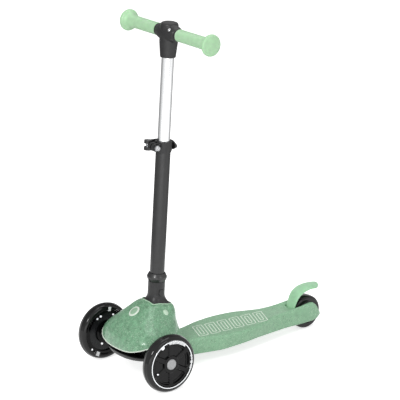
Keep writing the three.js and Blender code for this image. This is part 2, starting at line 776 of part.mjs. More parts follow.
function makeFrontAxle(group, name, side) {
  const along = (made) => shifted(turned(made, 'y', (side * Math.PI) / 2), 0, 0, frontRadius);
  const axle = rod(axleRadius, axleInnerEnd, halfTrack + axleEnd, smallFacets);
  add(group, `front_axle_${name}`, along(axle), 'steel');
  const [spacerLow, spacerHigh] = [axleBeamEnd + seatGap, halfTrack + innerBearingLow - seatGap];
  const spacer = tube(spacerRadius, axleRadius + seatGap, spacerLow, spacerHigh, smallFacets);
  add(group, `axle_spacer_${name}`, along(spacer), 'steel');
  const nut = cut(
    rod(axleNutRadius, halfTrack + axleNutLow, halfTrack + axleNutLow + axleNutHeight, 6),
    rod(axleRadius + seatGap, 0, 2 * halfTrack, smallFacets),
  );
  add(group, `axle_nut_${name}`, along(nut), 'steel');
}

// Tyre outline: straight bore, round shoulders and a slightly crowned tread.
function tyreProfile(outer, inner, width, shoulder) {
  const half = width / 2;
  const arc = (side) => evenShares(3).map((share) => {
    const angle = (Math.PI / 2) * share;
    const radius = outer - tyreCrown - shoulder + shoulder * Math.sin(angle);
    return [radius, side * (half - shoulder + shoulder * Math.cos(angle))];
  });
  return [[inner, -half], ...arc(-1), [outer, 0], ...arc(1).reverse(), [inner, half], [inner, -half]];
}

function makeRim(group, name) {
  const half = frontWidth / 2;
  const outer = ringRadius - seatGap;
  const inner = ringRadius - ringWall;
  add(group, `rim_ring_${name}`, revolve([
    [inner, -half + ringWall],
    [inner + ringWall / 2, -half - ringProud],
    [outer, -half - ringProud],
    [outer, half + ringProud],
    [inner + ringWall / 2, half + ringProud],
    [inner, half - ringWall],
    [inner, -half + ringWall],
  ], wheelFacets), 'clearRing');
}

function makeCore(group, name) {
  const face = frontWidth / 2 - coreSetIn;
  const outer = ringRadius - ringWall - seatGap;
  const seat = bearingRadius + seatGap;
  const stop = outerBearingLow + bearingWidth + seatGap;
  const capSeat = face - capWall - ringProud;
  const disc = join(
    rod(outer, -face, face, wheelFacets),
    rod(coreHubRadius, -frontWidth / 2, 0, tubeFacets),
  );
  const bore = revolve([
    [0, -frontWidth],
    [seat, -frontWidth],
    [seat, stop],
    [axleNutRadius + runningGap, stop],
    [axleNutRadius + runningGap, capSeat],
    [capRadius + seatGap, capSeat],
    [capRadius + seatGap, frontWidth],
    [0, frontWidth],
  ], tubeFacets);
  const pocketTop = boardPocketDepth - face;
  const [pocketOuter, pocketInner] = [boardOuter + runningGap, boardInner - runningGap];
  const pocket = tube(pocketOuter, pocketInner, -face - cutOverrun, pocketTop, innerFacets);
  const dish = tube(outer - ringWall, coreHubRadius, face - spokeDepth, face + cutOverrun, innerFacets);
  const spokes = Array.from({ length: spokeCount }, (unused, i) => {
    const [low, high] = [face - 2 * spokeDepth, face + 2 * cutOverrun];
    const bar = box([0, -spokeWidth / 2, low], [outer, spokeWidth / 2, high]);
    return turned(bar, 'z', (2 * Math.PI * i) / spokeCount);
  });
  add(group, `wheel_core_${name}`, cut(disc, bore, pocket, cut(dish, ...spokes)), 'smoked');

  const boardHigh = pocketTop - seatGap;
  const board = tube(boardOuter, boardInner, boardHigh - boardWall, boardHigh, innerFacets);
  const lights = Array.from({ length: lightCount }, (unused, i) => {
    const lens = rod(lightRadius, boardHigh - boardWall - lightHeight, boardHigh - boardWall / 2, tinyFacets);
    return turned(shifted(lens, lightPitchRadius, 0, 0), 'z', (2 * Math.PI * (i + 0.5)) / lightCount);
  });
  add(group, `light_board_${name}`, join(board, ...lights), 'board');

  const capLow = capSeat + seatGap;
  add(group, `hub_cap_${name}`, revolve([
    [capRadius - capWall, capLow],
    [capRadius, capLow],
    [capRadius, face + ringProud],
    [capRadius * 0.86, face + capDome * 0.7],
    [capRadius * 0.5, face + capDome],
    [0, face + capDome],
    [0, face + capDome - capWall],
    [capRadius - capWall, face + ringProud],
    [capRadius - capWall, capLow],
  ], tubeFacets), 'greyCap');
}

function makeBearing(group, name, low) {
  add(group, name, tube(bearingRadius, axleRadius + seatGap, low, low + bearingWidth, smallFacets), 'steel');
}

function makeFrontWheel(scooter, name, side) {
  const wheel = new THREE.Group();
  wheel.position.set(side * halfTrack, 0, frontRadius);
  wheel.rotation.y = (side * Math.PI) / 2;
  scooter.add(wheel);
  const tyre = revolve(tyreProfile(frontRadius, ringRadius, frontWidth, tyreShoulder), wheelFacets);
  add(wheel, `tyre_${name}`, tyre, 'tyre');
  makeRim(wheel, name);
  makeCore(wheel, name);
  makeBearing(wheel, `bearing_inner_${name}`, innerBearingLow);
  makeBearing(wheel, `bearing_outer_${name}`, outerBearingLow);
}

const rearBearingLow = rearWidth / 2 - bearingWidth - rearBearingSetIn;
const rearHeadSeat = slotHalf + cheekSeat;
const rearNutLow = slotHalf + seatGap;

function makeRearWheel(scooter) {
  const wheel = new THREE.Group();
  wheel.position.set(0, rearAxle.y, rearAxle.z);
  wheel.rotation.y = Math.PI / 2;
  scooter.add(wheel);
  const half = rearWidth / 2;
  const profile = tyreProfile(rearRadius, rearCoreRadius + seatGap, rearWidth, rearShoulder);
  add(wheel, 'rear_tyre', revolve(profile, rearFacets), 'tyre');
  const seat = bearingRadius + seatGap;
  const stop = rearBearingLow - seatGap;
  add(wheel, 'rear_core', revolve([
    [seat, -half],
    [rearCoreRadius, -half],
    [rearCoreRadius, half],
    [seat, half],
    [seat, stop],
    [axleRadius + rearBoreGap, stop],
    [axleRadius + rearBoreGap, -stop],
    [seat, -stop],
    [seat, -half],
  ], tubeFacets), 'blackPlastic');
  makeBearing(wheel, 'rear_bearing_left', rearBearingLow);
  makeBearing(wheel, 'rear_bearing_right', -rearBearingLow - bearingWidth);
}

function makeRearAxle(group) {
  const nutHigh = rearNutLow + axleNutHeight;
  const shank = rodAlongX(axleRadius, -rearHeadSeat - kingpinHeadHeight / 2, nutHigh - seatGap, smallFacets);
  const head = rodAlongX(kingpinHeadRadius, -rearHeadSeat - kingpinHeadHeight, -rearHeadSeat - seatGap, 6);
  add(group, 'rear_axle', shifted(join(shank, head), 0, rearAxle.y, rearAxle.z), 'steel');
  const bore = rodAlongX(axleRadius + seatGap, 0, nutHigh + cutOverrun, smallFacets);
  const nut = cut(rodAlongX(axleNutRadius, rearNutLow - seatGap, nutHigh - seatGap, 6), bore);
  add(group, 'rear_axle_nut', shifted(nut, 0, rearAxle.y, rearAxle.z), 'steel');
}

// Rows: share along the mudguard, reach, rise, half width as shares of its own sizes.
const guardShares = [
  [0, 0.022, 0.04, 0.79],
  [0.08, 0.035, 0.17, 0.79],
  [0.15, 0.056, 0.27, 0.79],
  [0.22, 0.084, 0.37, 0.8],
  [0.29, 0.12, 0.5, 0.83],
  [0.35, 0.163, 0.615, 0.88],
  [0.43, 0.244, 0.75, 0.93],
  [0.54, 0.38, 0.87, 0.97],
  [0.65, 0.534, 0.957, 1],
  [0.78, 0.72, 1, 1],
  [0.88, 0.857, 0.97, 0.93],
  [0.955, 0.957, 0.92, 0.74],
  [1, 1, 0.87, 0.45],
];
const guardAt = tableReader(guardShares);

// The mudguard's direction at a share is read between the points one step before and after it.
const guardStep = 0.01;

// A strip that follows the mudguard at some depth below its outer face.
function guardStrip(from, to, steps, depth, wall, halfWidth, crown) {
  const point = (share) => {
    const [reach, rise] = guardAt(Math.min(Math.max(share, 0), 1));
    return new THREE.Vector2(brakePinY + reach * brakeReach, brakePinZ + rise * brakeRise);
  };
  return loft(evenShares(steps).map((step) => {
    const share = from + (to - from) * step;
    const along = point(share + guardStep).sub(point(share - guardStep)).normalize();
    const inward = new THREE.Vector2(along.y, -along.x);
    const half = halfWidth(share);
    const across = [-1, -0.6, 0, 0.6, 1];
    const bow = (x) => crown * (x * x) * (half / brakeHalfWidth);
    const place = (x, deep) => {
      const at = point(share).addScaledVector(inward, deep + bow(x));
      return new THREE.Vector3(x * half, at.x, at.y);
    };
    return [
      ...across.map((x) => place(x, depth)),
      ...across.slice().reverse().map((x) => place(x * 0.96, depth + wall)),
    ];
  }));
}

function makeBrake(group) {
  const guard = guardStrip(0, 1, 16, 0, brakeWall, (share) => guardAt(share)[2] * brakeHalfWidth, brakeCrown);
  const halfKnuckle = slotHalf - 2 * runningGap;
  const atPin = (made) => shifted(made, 0, brakePinY, brakePinZ);
  const knuckle = atPin(rodAlongX(brakeKnuckle, -halfKnuckle, halfKnuckle, smallFacets));
  const bore = atPin(rodAlongX(brakePinRadius + seatGap, -deckHalfWidth, deckHalfWidth, smallFacets));
  add(group, 'brake_fender', cut(join(guard, knuckle), bore), 'mint');
  const pad = guardStrip(0.36, 0.56, 4, brakeWall + seatGap, padWall, () => padHalfWidth, brakeCrown);
  add(group, 'brake_pad', pad, 'steel');
  const pin = rodAlongX(brakePinRadius, seatGap - brakePinReach, brakePinReach - seatGap, smallFacets);
  add(group, 'brake_pin', atPin(pin), 'steel');
}

// A block with rounded edges along X, for a push button or its window.
function buttonBlock(grow, inner, outer) {
  const shape = new THREE.Shape();
  const [w, h, r] = [buttonWidth / 2 + grow, buttonHeight / 2 + grow, buttonCorner];
  shape.moveTo(w, -h + r);
  shape.lineTo(w, h - r);
  shape.absarc(w - r, h - r, r, 0, Math.PI / 2, false);
  shape.absarc(-w + r, h - r, r, Math.PI / 2, Math.PI, false);
  shape.absarc(-w + r, -h + r, r, Math.PI, 1.5 * Math.PI, false);
  shape.absarc(w - r, -h + r, r, 1.5 * Math.PI, 2 * Math.PI, false);
  const options = { depth: outer - inner, bevelEnabled: false, curveSegments: 3 };
  const geometry = new THREE.ExtrudeGeometry(shape, options);
  const upright = new THREE.Matrix4().makeBasis(
    new THREE.Vector3(0, 1, 0), new THREE.Vector3(0, 0, 1), new THREE.Vector3(1, 0, 0),
  );
  return shifted(solid(geometry.applyMatrix4(upright)), inner, 0, buttonPlace);
}

function makeSocket(stem) {
  const bore = lowerRadius + seatGap;
  const foot = bracketSeat + seatGap;
  const socket = revolve([
    [0, foot],
    [socketFootRadius, foot],
    [socketFootRadius, skirtLow - skirtEdge],
    [skirtRadius, skirtLow - skirtEdge / 2],
    ...skirtProfile(0),
    [socketRadius, socketTop],
    [bore, socketTop],
    [bore, foot + socketFloor],
    [0, foot + socketFloor],
  ], tubeFacets);
  const window = buttonBlock(runningGap, -skirtRadius, skirtRadius);
  add(stem, 'stem_socket', cut(socket, window), 'blackPlastic');
  const middle = (socketTop + ringTop) / 2;
  add(stem, 'socket_ring', revolve([
    [bore, socketTop + seatGap],
    [socketRadius, socketTop + seatGap],
    [ringBulge, middle - ringBelt],
    [ringBulge, middle + ringBelt],
    [lowerRadius + lowerWall, ringTop],
    [bore, ringTop],
    [bore, socketTop + seatGap],
  ], tubeFacets), 'blackPlastic');
  const face = socketRadius + buttonProud;
  [['left', 1], ['right', -1]].forEach(([name, side]) => {
    const [a, b] = [side * buttonInner, side * face];
    add(stem, `socket_button_${name}`, buttonBlock(0, Math.min(a, b), Math.max(a, b)), 'blackPlastic');
  });
  makeButtonSpring(stem);
}

// Bent strip behind the buttons: two arms and a round foot, in the X-Z plane.
function makeButtonSpring(stem) {
  const top = buttonPlace - buttonHeight / 2 - seatGap;
  const bend = springFoot + springReach;
  const arc = (radius, from, to) => evenShares(8).map((share) => {
    const angle = from + (to - from) * share;
    return new THREE.Vector2(radius * Math.cos(angle), bend + radius * Math.sin(angle));
  });
  const inner = springReach - springWall;
  const shape = new THREE.Shape([
    new THREE.Vector2(springReach, top),
    ...arc(springReach, 0, -Math.PI),
    new THREE.Vector2(-springReach, top),
    new THREE.Vector2(-inner, top),
    ...arc(inner, -Math.PI, 0),
    new THREE.Vector2(inner, top),
  ]);
  const strip = solid(new THREE.ExtrudeGeometry(shape, { depth: springWidth, bevelEnabled: false }));
  add(stem, 'button_spring', shifted(turned(strip, 'x', Math.PI / 2), 0, springWidth / 2, 0), 'steel');
}

function makeTubes(stem) {
  const floor = bracketSeat + 2 * seatGap + socketFloor;
  const lower = tube(lowerRadius, lowerRadius - lowerWall, floor, lowerTop, tubeFacets);
  const window = buttonBlock(runningGap, -skirtRadius, skirtRadius);
  const slit = box([-clampSlit / 2, -2 * lowerRadius, clampLow], [clampSlit / 2, 0, lowerTop + cutOverrun]);
  add(stem, 'lower_tube', cut(lower, window, slit), 'blackPaint');
  const upperTop = barHeight - barRadius - barSaddle - seatGap;
  const upper = tube(upperRadius, upperRadius - upperWall, upperFoot, upperTop, tubeFacets);
  add(stem, 'upper_tube', upper, 'chrome');
  const spigot = upperRadius - upperWall - seatGap;
  add(stem, 'tube_bush', revolve([
    [spigot - bushWall, upperFoot - bushHeight],
    [bushRadius, upperFoot - bushHeight],
    [bushRadius, upperFoot - seatGap],
    [spigot, upperFoot - seatGap],
    [spigot, upperFoot + bushSpigot],
    [spigot - bushWall, upperFoot + bushSpigot],
    [spigot - bushWall, upperFoot - bushHeight],
  ], tubeFacets), 'nylon');
}

const clampMiddle = (clampLow + clampHigh) / 2 + boltRise;

function makeClamp(stem) {
  const bore = lowerRadius + seatGap;
  const outer = bore + clampWall;
  const ring = revolve([
    [bore, clampLow],
    [bore + clampWall / 3, clampLow],
    [outer, clampLow + clampTaper],
    [outer, clampHigh - edgeRound],
    [outer - edgeRound, clampHigh],
    [lowerRadius - lowerWall + seatGap, clampHigh],
    [lowerRadius - lowerWall + seatGap, lowerTop + seatGap],
    [bore, lowerTop + seatGap],
    [bore, clampLow],
  ], tubeFacets);
  const boss = shifted(rodAlongX(earRadius, -earOuter, earOuter, tubeFacets), 0, -earReach, clampMiddle);
  const [neckLow, neckHigh] = [clampMiddle - earRadius, clampMiddle + earRadius];
  const neck = box([-earOuter, -earReach, neckLow], [earOuter, -bore, neckHigh]);
  const hollow = rod(bore, clampLow - cutOverrun, lowerTop + seatGap, tubeFacets);
  const mouth = rod(lowerRadius - lowerWall + seatGap, clampLow, clampHigh + cutOverrun, tubeFacets);
  const slitTop = [clampSlit / 2, 0, clampHigh + cutOverrun];
  const slit = box([-clampSlit / 2, -2 * earReach, clampLow - cutOverrun], slitTop);
  const boltBore = rodAlongX(boltRadius + seatGap, -2 * earOuter, 2 * earOuter, smallFacets);
  const boltHole = shifted(boltBore, 0, -earReach, clampMiddle);
  add(stem, 'clamp_collar', cut(join(ring, boss, neck), hollow, mouth, slit, boltHole), 'blackPlastic');

  const boltInner = -barrelPlace + seatGap;
  const boltOuter = earOuter + nutLength - boltHold;
  const atBolt = (made) => shifted(made, 0, -earReach, clampMiddle);
  add(stem, 'clamp_bolt', atBolt(rodAlongX(boltRadius, boltInner, boltOuter, smallFacets)), 'steel');
  const face = earOuter + seatGap;
  const nut = revolveAlongX([
    [boltRadius + seatGap, face],
    [nutRadius, face],
    [nutRadius, face + nutLength * 0.6],
    [nutRadius * 0.7, face + nutLength],
    [0, face + nutLength],
    [0, boltOuter + seatGap],
    [boltRadius + seatGap, boltOuter + seatGap],
    [boltRadius + seatGap, face],
  ], smallFacets);
  add(stem, 'clamp_nut', atBolt(nut), 'chrome');
  const pin = rod(barrelRadius, clampMiddle - leverHeight / 2, clampMiddle + leverHeight / 2, smallFacets);
  const thread = atBolt(rodAlongX(boltRadius + seatGap, -barrelPlace, 0, smallFacets));
  add(stem, 'lever_barrel', cut(shifted(pin, -barrelPlace, -earReach, 0), thread), 'steel');
}

// Rows: share along the lever, its height and how far its tip turns out, as shares.
const leverShares = [
  [0, 1, 0],
  [0.55, 1, 0],
  [0.8, 0.9, 0],
  [0.92, 0.66, 0.3],
  [1, 0.3, 1],
];
const leverAt = tableReader(leverShares);

function makeLever(lever) {
  const inner = lowerRadius + seatGap + clampWall + leverGap;
  const half = leverHeight / 2;
  const atBarrel = (made) => shifted(made, -barrelPlace, -earReach, 0);
  const head = atBarrel(rod(leverHeadRadius, clampMiddle - half, clampMiddle + half, tubeFacets));
  const sweep = Math.PI - toRadians(leverTipDegrees);
  const ring = (place, direction, share) => {
    const [height, out] = leverAt(share);
    const outward = new THREE.Vector2(Math.cos(direction), Math.sin(direction));
    const low = place.clone().addScaledVector(outward, out * leverWall);
    const high = low.clone().addScaledVector(outward, leverWall);
    const [h, edge] = [half * height, leverWall / 4];
    return [[low, h - edge], [low, edge - h], [high, -h + edge], [high, h - edge]]
      .flatMap(([at, z], k) => {
        const inset = k === 0 || k === 3 ? edge : -edge;
        return k % 2 ? [[at, z], [at.clone().lerp(k === 1 ? high : low, 0.25), z + inset]]
          : [[at.clone().lerp(k === 0 ? high : low, 0.25), z + inset], [at, z]];
      })
      .map(([at, z]) => new THREE.Vector3(at.x, at.y, clampMiddle + z));
  };
  const straight = [-earReach, -earReach / 2].map((y) => ring(new THREE.Vector2(-inner, y), Math.PI, 0));
  const round = evenShares(12).map((share) => {
    const direction = Math.PI - sweep * share;
    const place = new THREE.Vector2(inner * Math.cos(direction), inner * Math.sin(direction));
    return ring(place, direction, share);
  });
  const arm = loft([...straight, ...round]);
  const [under, over] = [clampLow - earRadius, clampHigh + earRadius];
  const pinBore = atBarrel(rod(barrelRadius + seatGap, under, over, smallFacets));
  const slotRadius = leverHeadRadius + runningGap;
  const slot = atBarrel(rod(slotRadius, clampMiddle - leverSlot, clampMiddle + leverSlot, tubeFacets));
  const faceCut = box([seatGap - earOuter - edgeRound, -2 * earReach, under], [earOuter, 0, over]);
  add(lever, 'clamp_lever', cut(join(head, arm), pinBore, slot, faceCut), 'blackPlastic');
}

function makeGrip(bar, name, side) {
  const length = gripEnd - gripStart;
  const cap = gripCapRadius - gripRadius;
  const profile = [
    [gripRadius * 0.95, gripStart],
    [gripRadius * 0.98, gripStart + length * 0.2],
    [gripRadius, gripStart + length * 0.55],
    [gripRadius * 1.04, gripStart + length * 0.78],
    [gripRadius + cap * 0.22, gripStart + length * 0.85],
    [gripRadius + cap * 0.62, gripStart + length * 0.895],
    [gripRadius + cap * 0.92, gripStart + length * 0.92],
    [gripCapRadius, gripStart + length * 0.945],
    [gripRadius + cap * 0.95, gripStart + length * 0.97],
    [gripRadius + cap * 0.7, gripStart + length * 0.985],
    [gripRadius * 0.8, gripStart + length * 0.995],
    [0, gripEnd],
    [0, gripEnd - gripEndWall],
    [barRadius + seatGap, gripEnd - gripEndWall],
    [barRadius + seatGap, gripStart],
    [gripRadius * 0.95, gripStart],
  ];
  const grip = revolve(profile, tubeFacets);
  add(bar, `grip_${name}`, shifted(turned(grip, 'y', (side * Math.PI) / 2), 0, 0, barHeight), 'mint');
}

function makeHandlebar(bar) {
  const end = gripStart - seatGap;
  const sleeveShoulder = sleeveEndRadius + (sleeveMidRadius - sleeveEndRadius) * 0.2;
  const sleeve = revolveAlongX([
    [0, -end],
    [sleeveEndRadius - edgeRound, -end],
    [sleeveEndRadius, edgeRound - end],
    [sleeveShoulder, -end * 0.7],
    [sleeveMidRadius, -end * 0.4],
    [sleeveMidRadius, end * 0.4],
    [sleeveShoulder, end * 0.7],
    [sleeveEndRadius, end - edgeRound],
    [sleeveEndRadius - edgeRound, end],
    [0, end],
  ], tubeFacets);
  const neck = revolve([
    [0, -neckLength],
    [neckFootRadius - edgeRound, -neckLength],
    [neckFootRadius, edgeRound - neckLength],
    [neckRadius, -neckRadius],
    [neckRadius, neckDome * 0.35],
    [neckRadius * 0.94, neckDome * 0.62],
    [neckRadius * 0.76, neckDome * 0.86],
    [neckRadius * 0.45, neckDome * 0.97],
    [0, neckDome],
  ], tubeFacets);
  const barBore = rodAlongX(barRadius + seatGap, -2 * end, 2 * end, tubeFacets);
  const stemBore = rod(upperRadius + seatGap, -neckLength - cutOverrun, -barRadius - barSaddle, tubeFacets);
  const lean = toRadians(screwDegrees);
  const headTop = sleeveMidRadius + screwProud;
  const onScrew = (made) => shifted(turned(made, 'x', Math.PI / 2 - lean), screwPlace, 0, 0);
  const holeFoot = headTop - screwDepth - seatGap;
  const hole = onScrew(rod(screwRadius + seatGap, holeFoot, headTop + cutOverrun, smallFacets));
  const joint = cut(join(sleeve, neck), barBore, stemBore, hole);
  add(bar, 't_joint', shifted(joint, 0, 0, barHeight), 'blackPlastic');
  const screw = onScrew(rod(screwRadius, headTop - screwDepth, headTop, smallFacets));
  add(bar, 't_joint_screw', shifted(screw, 0, 0, barHeight), 'chrome');
  const reach = gripEnd - gripEndWall - seatGap;
  const crossbar = turned(tube(barRadius, barRadius - barWall, -reach, reach, tubeFacets), 'y', Math.PI / 2);
  add(bar, 'crossbar', shifted(crossbar, 0, 0, barHeight), 'steel');
  makeGrip(bar, 'left', 1);
  makeGrip(bar, 'right', -1);
}

// The whole scooter, laid out from the ground under the front axle
const scooter = new THREE.Group();
makeDeck(scooter);
makeHood(scooter);
makeBracket(scooter);
makeTruck(scooter);
[['left', 1], ['right', -1]].forEach(([name, side]) => {
  makeFrontAxle(scooter, name, side);
  makeFrontWheel(scooter, name, side);
});
makeRearWheel(scooter);
makeRearAxle(scooter);
makeBrake(scooter);

const stem = new THREE.Group();
stem.position.set(0, stemFoot, 0);
stem.rotation.x = -stemRake;
scooter.add(stem);
makeSocket(stem);
makeTubes(stem);
makeClamp(stem);
makeLever(stem);
makeHandlebar(stem);

// The origin lies on the ground under the middle of the footprint
const footprint = new THREE.Box3().setFromObject(scooter);
const middle = footprint.getCenter(new THREE.Vector3());
scooter.position.set(-middle.x, -middle.y, -footprint.min.z);

const model = new THREE.Group();
model.add(scooter);

export default model;
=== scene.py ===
"""Looks of the three wheel kids scooter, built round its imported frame.

Sizes are in millimetres in the layout frame: its origin is on the ground under the middle of the
front axle, +Z is up, -Y is the way it rides and +X is the rider's left. Every piece is moved from
there to the frame's own place, and made metres, when its mesh is made.
"""

import json
import logging
from dataclasses import dataclass
from enum import Enum
from typing import Callable, Sequence

import bmesh
import bpy
import numpy as np
from mathutils import Euler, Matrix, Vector

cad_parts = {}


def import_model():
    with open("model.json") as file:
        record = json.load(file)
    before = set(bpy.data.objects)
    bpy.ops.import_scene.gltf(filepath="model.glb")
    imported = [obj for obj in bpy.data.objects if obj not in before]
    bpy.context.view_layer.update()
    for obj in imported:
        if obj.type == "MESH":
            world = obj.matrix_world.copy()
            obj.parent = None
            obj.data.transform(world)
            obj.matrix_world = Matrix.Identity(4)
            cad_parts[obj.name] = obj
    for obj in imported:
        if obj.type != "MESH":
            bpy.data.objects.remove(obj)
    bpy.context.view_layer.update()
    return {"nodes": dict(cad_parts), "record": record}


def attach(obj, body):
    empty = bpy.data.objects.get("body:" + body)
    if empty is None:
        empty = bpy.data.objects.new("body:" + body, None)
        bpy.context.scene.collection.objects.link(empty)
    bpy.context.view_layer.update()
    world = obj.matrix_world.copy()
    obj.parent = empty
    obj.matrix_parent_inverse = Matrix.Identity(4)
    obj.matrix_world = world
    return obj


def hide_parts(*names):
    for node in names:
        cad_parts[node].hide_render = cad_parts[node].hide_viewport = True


Array = np.ndarray
Change = Callable[[np.ndarray], np.ndarray]
Light = tuple[float, float, float, float]
Pair = tuple[float, float]
Plug = bpy.types.NodeSocket
Rows = tuple[tuple[float, ...], ...]
Table = Sequence[Sequence[float]]
Thing = bpy.types.Object
Triple = tuple[float, float, float]

LOG = logging.getLogger("scooter")
MILLIMETRE = 0.001
LAYOUT_SHIFT = np.array([0.0, -209.9, 0.0])
CREASE_DEGREES = 38.0
FLAT_DEGREES = 1.0
BEVEL_STEPS = 3
MERGE_METRES = 1e-7
NODE_MERGE_METRES = 1e-6
THIN_METRES = 1e-8
NEAR_AXIS = 0.01


class Body(Enum):
    """Bodies of the frame that a piece may ride on."""

    CHASSIS = "chassis"
    HANDLEBAR = "handlebar"
    LEVER = "lever"
    BUTTON_LEFT = "button_left"
    BUTTON_RIGHT = "button_right"
    TRUCK = "front_truck"
    WHEEL_LEFT = "wheel_left"
    WHEEL_RIGHT = "wheel_right"
    WHEEL_REAR = "wheel_rear"
    BRAKE = "brake"


class Side(Enum):
    """The rider's left is +X."""

    LEFT = 1
    RIGHT = -1

    @property
    def word(self) -> str:
        """The side's name as the frame's nodes write it."""
        return self.name.lower()


# Nodes


def fill_inputs(tree: bpy.types.NodeTree, node: bpy.types.Node, inputs: dict[str | int, object]) -> None:
    """Sets each input to the value given for it, or joins it to the output given for it."""
    for key, given in inputs.items():
        if isinstance(given, Plug):
            tree.links.new(given, node.inputs[key])
        else:
            node.inputs[key].default_value = given


def new_node(
    tree: bpy.types.NodeTree, kind: str, inputs: dict[str | int, object], **settings: str
) -> bpy.types.Node:
    """A new node with its settings made and its inputs filled.

    Args:
        tree: Tree that gets the node.
        kind: The node's type.
        inputs: A value or another node's output for each input, by name or number.
        settings: Properties of the node itself.

    Returns:
        The node.
    """
    node = tree.nodes.new(kind)
    for name, setting in settings.items():
        setattr(node, name, setting)
    fill_inputs(tree, node, inputs)
    return node


# Finishes


@dataclass(frozen=True)
class Finish:
    """One finish, with the detail that its surface shows up close.

    Colours are as seen, from 0 to 255. Sizes of grain, patches and flakes are in millimetres.
    """

    name: str
    slot: str
    colour: tuple[int, int, int]
    roughness: float
    metallic: float = 0.0
    specular: float = 0.5
    coat: float = 0.0
    grain: float = 0.6
    relief: float = 0.02
    patch: float = 9.0
    patch_depth: float = 0.08
    roughness_play: float = 0.05
    flake: float = 0.0
    flake_size: float = 1.3
    flake_colour: tuple[int, int, int] = (225, 238, 225)
    # Emission in the finish's own colour, which paints light on parts that are not lamps: the ring's line,
    # its blocks and the wheel's lenses.
    glow: float = 0.0
    soft_depth: float = 0.0
    stretch: Triple = (1.0, 1.0, 1.0)

    def material(self) -> bpy.types.Material:
        """The finish as a node material, made once and then shared.

        Returns:
            A material whose patterns all read Object coordinates.
        """
        made = bpy.data.materials.get(self.name)
        return made if made else FinishNodes(self).build()


def linear(colour: Sequence[float], gain: float = 1.0) -> tuple[float, float, float, float]:
    """A seen colour as linear light: ((c + 0.055) / 1.055) to the power 2.4.

    Args:
        colour: Three values from 0 to 255.
        gain: Factor on the result.

    Returns:
        Red, green and blue as linear light, and an alpha of 1.
    """
    share = np.array(colour, float) / 255
    light = np.where(share <= 0.04045, share / 12.92, ((share + 0.055) / 1.055) ** 2.4) * gain
    return (*np.clip(light, 0, 1).tolist(), 1.0)


